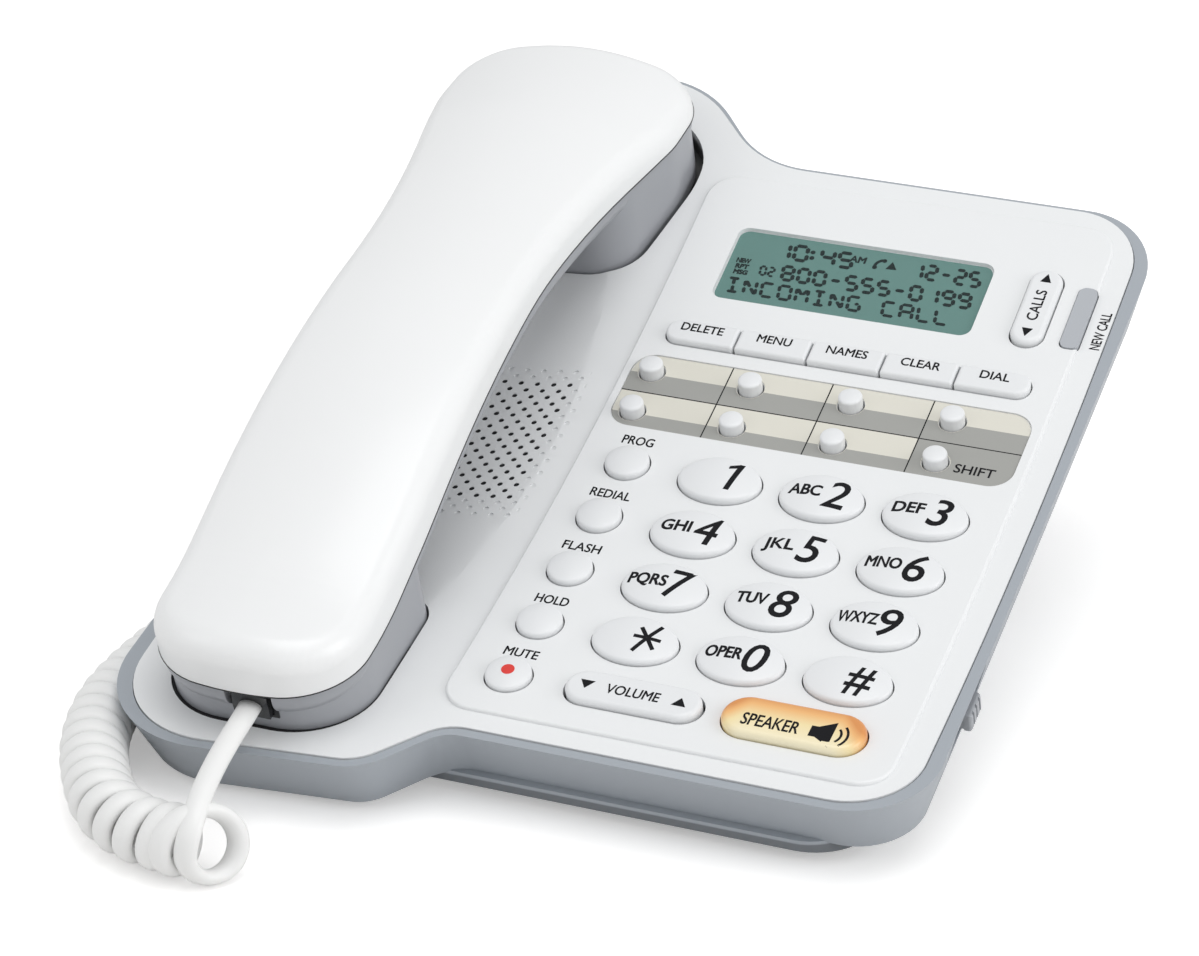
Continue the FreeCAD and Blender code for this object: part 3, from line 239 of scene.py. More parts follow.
def recessGroup():
    # painted shade: the face darkens down the walls of its pockets and key holes, where shadow falls, but
    # not in the finger valley
    group, enter, leave = newGroup(
        "recessPaintedShade",
        [
            ("Color", colourKind, (0.8, 0.8, 0.8, 1)),
            ("Start Depth", floatKind, 1.2),
            ("End Depth", floatKind, 5.0),
            ("Darkening", floatKind, 0.8),
        ],
        [("Color", colourKind)],
    )
    x, y, z = slabAxes(group)
    depth = faceDepth(group, y, z)
    deep = stepBetween(group, depth, enter.outputs["Start Depth"], enter.outputs["End Depth"])
    fromMiddle = mathNode(group, "ABSOLUTE", mathNode(group, "ADD", y, recesses["pocketMiddle"]), 0.0)
    pocket = stepBetween(group, fromMiddle, *recesses["pocketEdge"])
    panel = stepBetween(group, x, *recesses["panelEdge"])
    where = mathNode(group, "MAXIMUM", pocket, panel)
    return dim(group, enter, leave, mathNode(group, "MULTIPLY", deep, where))


def glowGroup():
    # the lit speaker key's amber, with its glow and a highlight painted into the colour: pale at its lower
    # side, orange at its far rim and its ends
    group, enter, leave = newGroup(
        "speakerPaintedGlow",
        [
            ("Middle X", floatKind, 52.2),
            ("Middle Y", floatKind, -66.9),
            ("Half Length", floatKind, 14.0),
            ("Half Width", floatKind, 5.3),
        ],
        [("Color", colourKind)],
    )
    x, y = slabAxes(group)[:2]
    off = mathNode(group, "SUBTRACT", y, enter.outputs["Middle Y"])
    across = mathNode(group, "DIVIDE", off, enter.outputs["Half Width"])
    aside = mathNode(group, "ABSOLUTE", mathNode(group, "SUBTRACT", x, enter.outputs["Middle X"]), 0.0)
    end = stepBetween(group, mathNode(group, "DIVIDE", aside, enter.outputs["Half Length"]), 0.62, 1.02)
    # from 0 at the lower side to 1 at the far rim
    share = mathNode(group, "MULTIPLY", mathNode(group, "ADD", across, 1.0), 0.5)
    share = mathNode(group, "ADD", share, mathNode(group, "MULTIPLY", end, 0.42), True)
    ramp = group.nodes.new("ShaderNodeValToRGB")
    stops = [
        (0.0, (0.92, 0.84, 0.60)), (0.5, (0.90, 0.74, 0.40)),
        (0.8, (0.87, 0.48, 0.18)), (1.0, (0.72, 0.29, 0.08)),
    ]
    while len(ramp.color_ramp.elements) < len(stops):
        ramp.color_ramp.elements.new(0.5)
    for element, (place, colour) in zip(ramp.color_ramp.elements, stops):
        element.position = place
        element.color = (*colour, 1)
    group.links.new(share, ramp.inputs["Fac"])
    group.links.new(ramp.outputs["Color"], leave.inputs["Color"])
    return group


def underGroup():
    # painted shade: the belly is darker where it meets the tray's wall, as if in the wall's shadow, and
    # fades to the tray's grey lower down
    group, enter, leave = newGroup(
        "bellyPaintedShade",
        [
            ("Color", colourKind, (0.4, 0.4, 0.4, 1)),
            ("Wall Depth", floatKind, 17.0),
            ("Fade Depth", floatKind, 32.0),
            ("Darkening", floatKind, 0.5),
        ],
        [("Color", colourKind)],
    )
    y, z = slabAxes(group)[1:]
    depth = faceDepth(group, y, z)
    wall = enter.outputs["Wall Depth"]
    below = stepBetween(group, depth, wall, mathNode(group, "ADD", wall, 0.4))
    faded = stepBetween(group, depth, mathNode(group, "ADD", wall, 3.0), enter.outputs["Fade Depth"])
    near = mathNode(group, "MULTIPLY", below, mathNode(group, "SUBTRACT", 1.0, faded))
    return dim(group, enter, leave, near)


groups = {"moulded": mouldedGroup(), "recess": recessGroup(), "glow": glowGroup(), "under": underGroup()}


def placed(tree, key, **values):
    node = tree.nodes.new("ShaderNodeGroup")
    node.node_tree = groups[key]
    for label, value in values.items():
        node.inputs[label.replace("_", " ")].default_value = value
    return node


def plastic(
    name, colour, roughness=0.4, drift=0.03, grainSize=2600.0, grainDepth=0.00001, coat=0.0, **sockets
):
    material = bpy.data.materials.new(name)
    material.use_nodes = True
    tree = material.node_tree
    shader = tree.nodes["Principled BSDF"]
    group = placed(
        tree, "moulded", Color=(*colour, 1), Grain_Size=grainSize, Tone_Drift=drift,
        Roughness=roughness, Roughness_Drift=0.12,
    )
    bump = tree.nodes.new("ShaderNodeBump")
    bump.inputs["Strength"].default_value = 0.35
    bump.inputs["Distance"].default_value = grainDepth
    tree.links.new(group.outputs["Color"], shader.inputs["Base Color"])
    tree.links.new(group.outputs["Roughness"], shader.inputs["Roughness"])
    tree.links.new(group.outputs["Height"], bump.inputs["Height"])
    tree.links.new(bump.outputs["Normal"], shader.inputs["Normal"])
    shader.inputs["Coat Weight"].default_value = coat
    shader.inputs["Coat Roughness"].default_value = 0.2
    for label, value in sockets.items():
        shader.inputs[label.replace("_", " ")].default_value = value
    return material


trayWallDepth = 15.3  # the tray's wall ends this far under the face, in mm
finishes = {
    "white": plastic("whiteCover", (0.83, 0.84, 0.845), 0.34, coat=0.1),
    "handset": plastic("whiteHandset", (0.87, 0.875, 0.875), 0.32, coat=0.15),
    "grey": plastic("greyTray", (0.37, 0.40, 0.435), 0.38, coat=0.1),
    "lower": plastic("greyHandsetUnder", (0.34, 0.35, 0.375), 0.32, coat=0.15),
    "key": plastic("keyWhite", (0.80, 0.81, 0.82), 0.36, coat=0.1),
    "amber": plastic("amberKey", (0.86, 0.64, 0.30), 0.3, coat=0.3),
    "lens": plastic("callLens", (0.44, 0.46, 0.49), 0.3, coat=0.3),
    "display": plastic("displayGlass", (0.105, 0.235, 0.21), 0.35),
    "ink": plastic("darkInk", (0.006, 0.006, 0.008), 0.55, Specular_IOR_Level=0.15),
    "segment": plastic("displaySegment", (0.006, 0.012, 0.012), 0.6, Specular_IOR_Level=0.05),
    "cream": plastic("cardCream", (0.72, 0.70, 0.62), 0.7, grainSize=900, grainDepth=0.00002),
    "shade": plastic("cardShade", (0.36, 0.36, 0.34), 0.7, grainSize=900, grainDepth=0.00002),
    "black": plastic("blackPlastic", (0.015, 0.015, 0.016), 0.35),
    # near-black painted shade, for the grille's holes and the gap round the lower pocket
    "shadeBlack": plastic("grilleHoleShade", (0.012, 0.012, 0.014), 0.9, grainSize=1800, grainDepth=0.00003),
    # near-black: painted shade that makes the handset's jack as dark as its shadow
    "plug": plastic("plugPaintedShade", (0.024, 0.025, 0.027), 0.16, coat=0.3),
    "cord": plastic("cordVinyl", (0.87, 0.87, 0.86), 0.42, grainSize=1400),
    "board": plastic("circuitBoard", (0.02, 0.13, 0.05), 0.35, drift=0.3),
    "rubber": plastic("darkRubber", (0.035, 0.035, 0.036), 0.7, grainSize=1200, grainDepth=0.00005),
    "mat": plastic("keypadMat", (0.2, 0.2, 0.21), 0.6),
    "speaker": plastic("speakerFrame", (0.03, 0.03, 0.032), 0.4, Metallic=0.6),
    "steel": plastic("screwSteel", (0.5, 0.5, 0.5), 0.3, Metallic=1.0),
    "cell": plastic("cellJacket", (0.07, 0.08, 0.10), 0.3, Metallic=0.5),
    "switch": plastic("greySwitch", (0.38, 0.395, 0.42), 0.4),
    "red": plastic("redDot", (0.72, 0.04, 0.03), 0.35),
}
slotFinish = {
    "white_plastic": "white", "grey_plastic": "grey", "handset_lower": "lower", "key_plastic": "key",
    "amber_plastic": "amber", "clear_window": "plug", "display": "display", "call_lens": "lens",
    "card": "cream", "black_plastic": "black", "clear_plug": "plug", "cord_vinyl": "cord", "board": "board",
    "mat_rubber": "mat", "speaker_metal": "speaker", "foot_rubber": "rubber", "screw_steel": "steel",
    "cell_metal": "cell", "grey_switch": "switch",
}
nodeSlot = {entry["node"]: entry["material_slot"] for entry in frame["record"]["subparts"]}
nodeBody = {}
for bodyName, members in frame["record"]["behaviour"]["bodies"].items():
    for member in members:
        nodeBody[member] = bodyName
for name, node in frame["nodes"].items():
    node.data.materials.clear()
    node.data.materials.append(finishes[slotFinish[nodeSlot[name]]])
print("materials set on", len(frame["nodes"]), "nodes")

# Painted shade in the cover's recesses and on the belly under the tray's wall, and the speaker key's glow
# painted into its colour
for key, shading, values in (
    ("white", "recess", {"Start_Depth": 1.0, "End_Depth": 3.8, "Darkening": 0.92}),
    ("grey", "under", {"Wall_Depth": trayWallDepth, "Fade_Depth": 34.0, "Darkening": 0.55}),
):
    tree = finishes[key].node_tree
    grain = next(node for node in tree.nodes if node.type == "GROUP")
    shaded = placed(tree, shading, **values)
    tree.links.new(grain.outputs["Color"], shaded.inputs["Color"])
    tree.links.new(shaded.outputs["Color"], tree.nodes["Principled BSDF"].inputs["Base Color"])
# the speaker key's colour is the painted glow
amberTree = finishes["amber"].node_tree
amberGrain = next(node for node in amberTree.nodes if node.type == "GROUP")
amberTree.links.new(placed(amberTree, "glow").outputs["Color"], amberGrain.inputs["Color"])

windowPane = bpy.data.materials.new("displayWindow")
windowPane.use_nodes = True
paneShader = windowPane.node_tree.nodes["Principled BSDF"]
paneShader.inputs["Base Color"].default_value = (0.4, 0.5, 0.5, 1)
paneShader.inputs["Roughness"].default_value = 0.06
paneShader.inputs["Alpha"].default_value = 0.03
finishes["window"] = windowPane


# The curly cord: the coil's middle line, then the wire's own line round it
cordShape = {
    "across": 3.1,                  # mm, the wire is a little flat
    "along": 4.8,
    "radius": 5.3,
    "pitch": 4.96,
    "curls": 40.75,
    "start": 180.0,
    "firstRadius": 7.3,             # the lead pulls the first curl open and turns it
    "firstPitch": 8.4,
    "firstSkew": 46.0,
    "firstFade": 1.8,
    "pointsPerCurl": 16,
    "sides": 16,
    "handsetEnd": (-48.0, -94.62, 22.14),
    "handsetWay": (0.0, -0.9521, -0.3057),
    "baseEnd": (-83.61, 30.98, 41.15),
    "baseWay": (-1.0, 0.0, 0.0),
    "straight": 3.3,
    "liftStart": (-75, -110, 10),   # between these the wire goes over from the base to the handset
    "liftEnd": (-51, -110, 10),
    "coilRoute": [
        (-40.2, -123.6, 9.1), (-49.6, -123.4, 7.8), (-59.5, -121.9, 7.2), (-68.5, -117.0, 7.2),
        (-76.0, -107.0, 7.2), (-82.9, -94.8, 7.2), (-87.2, -79.6, 7.2), (-86.9, -62.0, 7.2),
        (-85.0, -46.0, 7.2), (-82.6, -31.0, 7.2), (-81.0, -15.0, 7.2), (-80.5, 3.0, 7.2),
        (-81.0, 22.0, 7.2), (-83.5, 40.0, 7.2), (-87.0, 58.0, 7.2),
    ],
    "frontLead": [
        (-47.9, -103.5, 20.0), (-47.2, -112.5, 18.4), (-46.0, -121.0, 16.6), (-44.9, -127.6, 13.4),
    ],
    "rearLead": [(-95.0, 50.8, 16.0), (-100.2, 47.5, 25.0), (-100.0, 41.0, 34.0), (-95.0, 34.5, 40.8)],
}


def lineThrough(points, resolution):
    # the points of a NURBS line that has these control points
    curve = bpy.data.curves.new("line", "CURVE")
    curve.dimensions = "3D"
    spline = curve.splines.new("NURBS")
    spline.points.add(len(points) - 1)
    for point, place in zip(spline.points, points):
        point.co = (*place, 1)
    spline.order_u = 3
    spline.use_endpoint_u = True
    spline.resolution_u = resolution
    return [vertex.co.copy() for vertex in plainMesh(curve, "line").vertices]


def walk(places):
    walked = [(0.0, places[0])]
    for before, after in zip(places, places[1:]):
        walked.append((walked[-1][0] + (after - before).length, after))
    return walked


def along(walked, distance):
    low, high = 0, len(walked) - 1
    while high - low > 1:
        middle = (low + high) // 2
        if walked[middle][0] > distance:
            high = middle
        else:
            low = middle
    share = (distance - walked[low][0]) / (walked[high][0] - walked[low][0])
    way = walked[min(high + 2, len(walked) - 1)][1] - walked[max(low - 2, 0)][1]
    return walked[low][1].lerp(walked[high][1], share), way.normalized()


def curlPoint(walked, turn):
    fade = max(0.0, 1 - turn / cordShape["firstFade"])
    fade = fade * fade * (3 - 2 * fade)
    extra = (cordShape["firstPitch"] - cordShape["pitch"]) * min(turn, 1.0)
    here, way = along(walked, turn * cordShape["pitch"] + extra)
    flat = Vector((way.x, way.y, 0)).normalized()
    skew = math.radians(cordShape["firstSkew"]) * fade
    right = Vector((flat.y, -flat.x, 0)) * math.cos(skew) - flat * math.sin(skew)
    radius = cordShape["radius"] + (cordShape["firstRadius"] - cordShape["radius"]) * fade
    # the line runs inside its control points, so they stand out by as much
    radius /= math.cos(math.pi / cordShape["pointsPerCurl"])
    angle = math.radians(cordShape["start"]) + 2 * math.pi * turn
    return here + right * (radius * math.cos(angle)) + Vector((0, 0, radius * math.sin(angle))), flat


def cordControls():
    # control points of the whole wire, and the coil's way at each
    walked = walk(lineThrough(cordShape["coilRoute"], 24))
    steps = int(cordShape["curls"] * cordShape["pointsPerCurl"])
    curls = [curlPoint(walked, k / cordShape["pointsPerCurl"]) for k in range(steps + 1)]
    near, far = Vector(cordShape["handsetEnd"]), Vector(cordShape["baseEnd"])
    nearWay, farWay = Vector(cordShape["handsetWay"]), Vector(cordShape["baseWay"])
    front = [near, near + nearWay * cordShape["straight"]] + [Vector(p) for p in cordShape["frontLead"]]
    rear = [Vector(p) for p in cordShape["rearLead"]] + [far + farWay * cordShape["straight"], far]
    points = front + [place for place, flat in curls] + rear
    ways = [curls[0][1]] * len(front) + [flat for place, flat in curls] + [curls[-1][1]] * len(rear)
    print("coil line", round(walked[-1][0], 1), "mm,", len(points), "control points")
    return points, ways


def skinRings(bm, rings):
    # walls between the rings and a cap at each end
    sides = len(rings[0])
    for before, after in zip(rings, rings[1:]):
        for k in range(sides):
            bm.faces.new((before[k], before[(k + 1) % sides], after[(k + 1) % sides], after[k]))
    bm.faces.new(list(reversed(rings[0])))
    bm.faces.new(rings[-1])
    bmesh.ops.recalc_face_normals(bm, faces=bm.faces)


def ovalTube(name, line, ways, across, along, sides):
    # an oval tube whose wide way lies along the coil
    count = len(line)
    bm = bmesh.new()
    rings = []
    wide = None
    for i in range(count):
        ahead = (line[min(i + 1, count - 1)] - line[max(i - 1, 0)]).normalized()
        guide = ways[min(int(i * len(ways) / count), len(ways) - 1)]
        side = guide - ahead * guide.dot(ahead)
        if wide is not None:
            carried = wide - ahead * wide.dot(ahead)
            side = carried.normalized() * 0.7 + side * 0.3
        wide = side.normalized()
        thin = ahead.cross(wide)
        ring = []
        for k in range(sides):
            angle = 2 * math.pi * k / sides
            out = wide * (along / 2 * math.cos(angle)) + thin * (across / 2 * math.sin(angle))
            ring.append(bm.verts.new(line[i] + out))
        rings.append(ring)
    skinRings(bm, rings)
    for face in bm.faces:
        face.smooth = len(face.verts) == 4
    return meshFrom(bm, name)


wireControls, wireWays = cordControls()
wireLine = lineThrough(wireControls, 3)
wireMesh = ovalTube(
    "curlyCordWire", wireLine, wireWays, cordShape["across"], cordShape["along"], cordShape["sides"]
)
wireMesh.transform(benchToRow)
curlyCord = addObject("curlyCordWire", wireMesh, None, finishes["cord"])
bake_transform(curlyCord)
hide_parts("curly_cord")


# CAD pieces with curved skins get a merged copy that shades smoothly
def weightNormals(holder):
    weighted = holder.modifiers.new("weighted", "WEIGHTED_NORMAL")
    weighted.keep_sharp = True
    weighted.weight = 80


def smoothCopy(nodeName, finish=None, angle=30.0):
    source = frame["nodes"][nodeName]
    bm = bmesh.new()
    bm.from_mesh(source.data)
    bmesh.ops.remove_doubles(bm, verts=bm.verts, dist=1e-6)
    limit = math.radians(angle)
    for face in bm.faces:
        face.smooth = True
    for edge in bm.edges:
        edge.smooth = len(edge.link_faces) == 2 and edge.calc_face_angle(0) < limit
    smooth = plainMesh(meshFrom(bm, nodeName + "Skin"), nodeName + "Skin", weightNormals)
    slot = nodeSlot[nodeName]
    finish = finish or finishes[slotFinish[slot]]
    skin = addObject(smooth.name, smooth, nodeBody[nodeName], finish)
    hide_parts(nodeName)
    return skin


skinned = [
    "top_cover", "bottom_housing", "handset_bottom_shell", "volume_rocker", "call_list_rocker",
    "call_light_lens", "desk_stand", "rubber_feet", "ringer_switch", "directory_card",
]
buttons = ("key_", "memory_button_", "soft_key_")
skinned += [name for name in sorted(frame["nodes"]) if name.startswith(buttons)]
skins = {name: smoothCopy(name) for name in skinned}
skins["handset_top_shell"] = smoothCopy("handset_top_shell", finishes["handset"])
skins["speaker_key"] = smoothCopy("speaker_key")
print("smooth skins", len(skins))


# Printed words and signs: thin closed shapes that follow the surface under them
surfaceTrees = {}


def slabTree(target):
    if target not in surfaceTrees:
        bm = bmesh.new()
        bm.from_mesh(skins[target].data)
        bm.transform(toSlab)
        surfaceTrees[target] = BVHTree.FromBMesh(bm)
        bm.free()
    return surfaceTrees[target]


def heightOn(target, x, y):
    place = slabTree(target).ray_cast(Vector((x, y, 60)), Vector((0, 0, -1)))[0]
    return place.z if place else faceHeight(y)


def embolden(mesh, by):
    # moves each letter's outline out, so that its strokes grow heavier
    bm = bmesh.new()
    bm.from_mesh(mesh)
    bmesh.ops.remove_doubles(bm, verts=bm.verts, dist=1e-4)
    moves = {}
    for edge in bm.edges:
        if len(edge.link_faces) != 1:
            continue
        first, last = edge.verts
        way = last.co - first.co
        out = Vector((way.y, -way.x, 0)).normalized()
        inside = edge.link_faces[0].calc_center_median() - first.co
        if out.dot(inside) > 0:
            out = -out
        for vertex in edge.verts:
            moves.setdefault(vertex, []).append(out)
    for vertex, outs in moves.items():
        if len(outs) == 2:
            middle = (outs[0] + outs[1]) / 2
            vertex.co += middle * (by / max(middle.length_squared, 0.4))
    bm.to_mesh(mesh)
    bm.free()


def word(letters, height, width=None, slant=0.0, bold=0.0, narrow=1.0):
    # flat letters round (0, 0), in mm
    font = bpy.data.curves.new("word", "FONT")
    font.body = letters
    font.size = (height - 2 * bold) / 0.69   # a capital's share of the size
    font.shear = slant
    font.resolution_u = 4
    mesh = plainMesh(font, "word")
    xs = [vertex.co.x for vertex in mesh.vertices]
    left, right = min(xs), max(xs)
    squeeze = (width - 2 * bold) / (right - left) if width else narrow
    for vertex in mesh.vertices:
        vertex.co = ((vertex.co.x - (left + right) / 2) * squeeze, vertex.co.y - height / 2 + bold, 0)
    if bold:
        embolden(mesh, bold)
    return mesh


def smallWord(letters, height, width):
    return word(letters, height, width, bold=0.05)


def shapes(outlines):
    bm = bmesh.new()
    for outline in outlines:
        bm.faces.new([bm.verts.new((x, y, 0)) for x, y in outline])
    return meshFrom(bm, "shapes")


def sliced(marks, step):
    # all marks in one flat mesh, cut finely enough to bend; marks are (mesh, x, y, degrees)
    bm = bmesh.new()
    for mesh, x, y, turn in marks:
        mesh.transform(Matrix.Translation((x, y, 0)) @ Matrix.Rotation(math.radians(turn), 4, "Z"))
        bm.from_mesh(mesh)
    bmesh.ops.remove_doubles(bm, verts=bm.verts, dist=1e-4)
    for axis in (0, 1):
        places = [vertex.co[axis] for vertex in bm.verts]
        cut = min(places) + step
        while cut < max(places):
            point, normal = [0, 0, 0], [0, 0, 0]
            point[axis], normal[axis] = cut, 1
            parts = bm.verts[:] + bm.edges[:] + bm.faces[:]
            bmesh.ops.bisect_plane(bm, geom=parts, plane_co=point, plane_no=normal, dist=1e-5)
            cut += step
    for face in bm.faces:
        if face.normal.z < 0:
            face.normal_flip()
    return bm


def thicken(bm, upper, lower):
    # closes the flat mesh into thin slabs between two heights, each a function of x and y
    grown = bmesh.ops.extrude_face_region(bm, geom=bm.faces[:])
    tops = {part for part in grown["geom"] if isinstance(part, bmesh.types.BMVert)}
    for vertex in bm.verts:
        height = upper if vertex in tops else lower
        vertex.co.z = height(vertex.co.x, vertex.co.y)
    bmesh.ops.recalc_face_normals(bm, faces=bm.faces)
    bm.transform(toRow)
    return bm


def layPrint(name, marks, target, body, material, proud=0.03, sunk=0.06, step=1.5):
    def raised(by):
        return lambda x, y: heightOn(target, x, y) + by

    bm = thicken(sliced(marks, step), raised(proud), raised(-sunk))
    return addObject(name, meshFrom(bm, name), body, material)


def faceAt(depth):
    # heights at a depth under the hollow face
    return lambda x, y: faceHeight(y) - depth


def laySheet(name, outlines, depth, thick, slot, material, step=4.0, holes=()):
    # thin sheets that follow the hollow face, their tops at a depth below it
    flat = withoutDiscs(sliced([(shapes(outlines), 0, 0, 0)], step), holes, card["buttonHole"])
    bm = thicken(flat, faceAt(depth), faceAt(depth + thick))
    return addObject(name, meshFrom(bm, name), "base", material)


def bar(x0, y0, x1, y1, wide):
    # a straight stroke between two points
    way = Vector((x1 - x0, y1 - y0)).normalized()
    side = Vector((-way.y, way.x)) * wide / 2
    a, b = Vector((x0, y0)), Vector((x1, y1))
    return [tuple(a - side), tuple(b - side), tuple(b + side), tuple(a + side)]


def around(radius, angle, x=0.0, y=0.0):
    # the point at a radius and an angle from (x, y)
    turn = math.radians(angle)
    return x + radius * math.cos(turn), y + radius * math.sin(turn)


def disc(radius, sides=28, x=0.0, y=0.0):
    return [around(radius, 360 * k / sides, x, y) for k in range(sides)]


# Thin dark lines where the handset's shells meet, and a dark strip of painted shade in the gap round its
# lower pocket
seams = {
    "sharp": 40.0, "line": 0.15, "stripTop": 0.3, "stripWall": 0.7, "stripPlay": 0.15, "stripWide": 1.1,
    "nearCup": 1.9,
}


def longestEdgeLine(skin, chosen):
    # the longest chain of sharp edges for which chosen(middle, normals) holds, in slab mm
    bm = bmesh.new()
    bm.from_mesh(skin.data)
    bm.transform(toSlab)
    bm.normal_update()
    limit = math.radians(seams["sharp"])
    links = {}
    for edge in bm.edges:
        if len(edge.link_faces) != 2 or edge.calc_face_angle(0) < limit:
            continue
        first, last = edge.verts
        if chosen((first.co + last.co) / 2, [face.normal for face in edge.link_faces]):
            links.setdefault(first.index, []).append(last.index)
            links.setdefault(last.index, []).append(first.index)
    bm.verts.ensure_lookup_table()
    places = {index: bm.verts[index].co.copy() for index in links}
    bm.free()
    best, bestLength = [], 0.0
    seen = set()
    for start in sorted(links, key=lambda index: (len(links[index]), index)):
        if start in seen:
            continue
        chain = [start]
        seen.add(start)
        while True:
            ahead = [index for index in links[chain[-1]] if index not in seen]
            if not ahead:
                break
            chain.append(ahead[0])
            seen.add(ahead[0])
        length = sum((places[b] - places[a]).length for a, b in zip(chain, chain[1:]))
        if length > bestLength:
            best, bestLength = chain, length
    return [places[index] for index in best], bestLength


def partingRim(middle, normals):
    # where the top shell's side turns under to its lower face
    return min(normal.z for normal in normals) < -0.7 and max(normal.z for normal in normals) > -0.35


cupTree = slabTree("handset_bottom_shell")
partingLine, partingLength = longestEdgeLine(skins["handset_top_shell"], partingRim)
if partingLine:
    loop, thick = [*partingLine, partingLine[0]], 2 * seams["line"]
    seamMesh = ovalTube("partingSeam", loop, [Vector((0, 0, 1))], thick, thick, 8)
    seamMesh.transform(toRow)
    addObject("partingSeam", seamMesh, "handset", finishes["black"])
print("parting line", round(partingLength, 1), "mm")


def pocketRim(middle, normals):
    # the lower pocket's own edge, close round the mouth cup
    near = cupTree.find_nearest(middle)
    return middle.y < -60 and near[3] < seams["nearCup"] and max(normal.z for normal in normals) > 0.8


def pocketShadeRing(line):
    # a thin dark strip in the gap, as wide as the gap allows, that stands in for the gap's shadow
    bm = bmesh.new()
    rings = []
    for place in line:
        cup = cupTree.find_nearest(place - Vector((0, 0, seams["stripTop"])))[0]
        way = Vector((cup.x - place.x, cup.y - place.y, 0))
        wide = min(max(way.length - seams["stripPlay"], 0.1), seams["stripWide"])
        inner = place + way.normalized() * wide
        outer = place - way.normalized() * 0.1
        top, low = place.z - seams["stripTop"], place.z - seams["stripTop"] - seams["stripWall"]
        corners = ((outer, top), (inner, top), (inner, low), (outer, low))
        rings.append([bm.verts.new((edge.x, edge.y, height)) for edge, height in corners])
    skinRings(bm, rings)
    bm.transform(toRow)
    return meshFrom(bm, "pocketShadeStrip")


# painted shade: a dark strip where the pocket's gap round the mouth cup falls in shadow
pocketEdge, pocketLength = longestEdgeLine(skins["top_cover"], pocketRim)
if len(pocketEdge) > 2:
    addObject("pocketShadeStrip", pocketShadeRing(pocketEdge), "base", finishes["shadeBlack"])
print("pocket edge", round(pocketLength, 1), "mm")


# Grille: a dark disc close under each open hole, painted shade that stands in for the shadow inside it, set
# out by Geometry Nodes
grille = {
    "x": -34.0, "y": 1.25, "columns": 6, "rows": 24, "pitch": 3.8, "rowStep": 1.95,
    "radius": 0.64, "thick": 0.1, "sides": 14, "depth": 0.28, "blindFront": 3, "blindRear": 2,
}


def nodeTree(name, inputs):
    # a Geometry Nodes tree with a mesh in, named sizes and a mesh out
    tree = bpy.data.node_groups.new(name, "GeometryNodeTree")
    tree.interface.new_socket("Geometry", in_out="OUTPUT", socket_type="NodeSocketGeometry")
    tree.interface.new_socket("Geometry", in_out="INPUT", socket_type="NodeSocketGeometry")
    for label, kind, value in inputs:
        tree.interface.new_socket(label, in_out="INPUT", socket_type=kind).default_value = value
    return tree, tree.nodes.new("NodeGroupInput"), tree.nodes.new("NodeGroupOutput")


def closeTree(tree, instances, leave, material):
    real = tree.nodes.new("GeometryNodeRealizeInstances")
    finish = tree.nodes.new("GeometryNodeSetMaterial")
    finish.inputs["Material"].default_value = material
    tree.links.new(instances, real.inputs["Geometry"])
    tree.links.new(real.outputs["Geometry"], finish.inputs["Geometry"])
    tree.links.new(finish.outputs["Geometry"], leave.inputs["Geometry"])


def grownFrom(name, places, tree, values):
    # runs a tree on a cloud of points and gives the plain mesh
    def grow(holder):
        modifier = holder.modifiers.new("grow", "NODES")
        modifier.node_group = tree
        for item in tree.interface.items_tree:
            if item.in_out == "INPUT" and item.name in values:
                modifier[item.identifier] = values[item.name]

    cloud = bpy.data.meshes.new(name + "Points")
    cloud.from_pydata(places, [], [])
    return plainMesh(cloud, name, grow)


def holeShadeTree():
    tree, enter, leave = nodeTree("grilleHoleShade", [
        ("Radius", floatKind, 0.0006), ("Thickness", floatKind, 0.0001), ("Sides", "NodeSocketInt", 12),
        ("Tilt", "NodeSocketVector", (0, 0, 0)),
    ])
    disc = tree.nodes.new("GeometryNodeMeshCylinder")
    spread = tree.nodes.new("GeometryNodeInstanceOnPoints")
    tree.links.new(enter.outputs["Radius"], disc.inputs["Radius"])
    tree.links.new(enter.outputs["Thickness"], disc.inputs["Depth"])
    tree.links.new(enter.outputs["Sides"], disc.inputs["Vertices"])
    tree.links.new(enter.outputs["Geometry"], spread.inputs["Points"])
    tree.links.new(disc.outputs["Mesh"], spread.inputs["Instance"])
    tree.links.new(enter.outputs["Tilt"], spread.inputs["Rotation"])
    closeTree(tree, spread.outputs["Instances"], leave, finishes["shadeBlack"])
    return tree


def grillePlaces():
    # the open holes' middles, just under the valley's skin
    places = []
    for row in range(grille["blindFront"], grille["rows"] - grille["blindRear"]):
        y = grille["y"] + (row - (grille["rows"] - 1) / 2) * grille["rowStep"]
        shift = grille["pitch"] / 4 * (1 if row % 2 else -1)
        for column in range(grille["columns"] - 1):
            x = grille["x"] + (column - (grille["columns"] - 1) / 2) * grille["pitch"] + shift
            aside = grille["pitch"] / 2
            height = (heightOn("top_cover", x - aside, y) + heightOn("top_cover", x + aside, y)) / 2
            places.append(toRow @ Vector((x, y, height - grille["depth"])))
    return places


holeShadeMesh = grownFrom("grilleHoleShade", grillePlaces(), holeShadeTree(), {
    "Radius": grille["radius"] / 1000, "Thickness": grille["thick"] / 1000, "Sides": grille["sides"],
    "Tilt": (math.radians(slab["tilt"]), 0.0, 0.0),
})
addObject("grilleHoleShade", holeShadeMesh, "base", finishes["shadeBlack"])
print("grille felt discs", len(holeShadeMesh.polygons) // (grille["sides"] + 2))


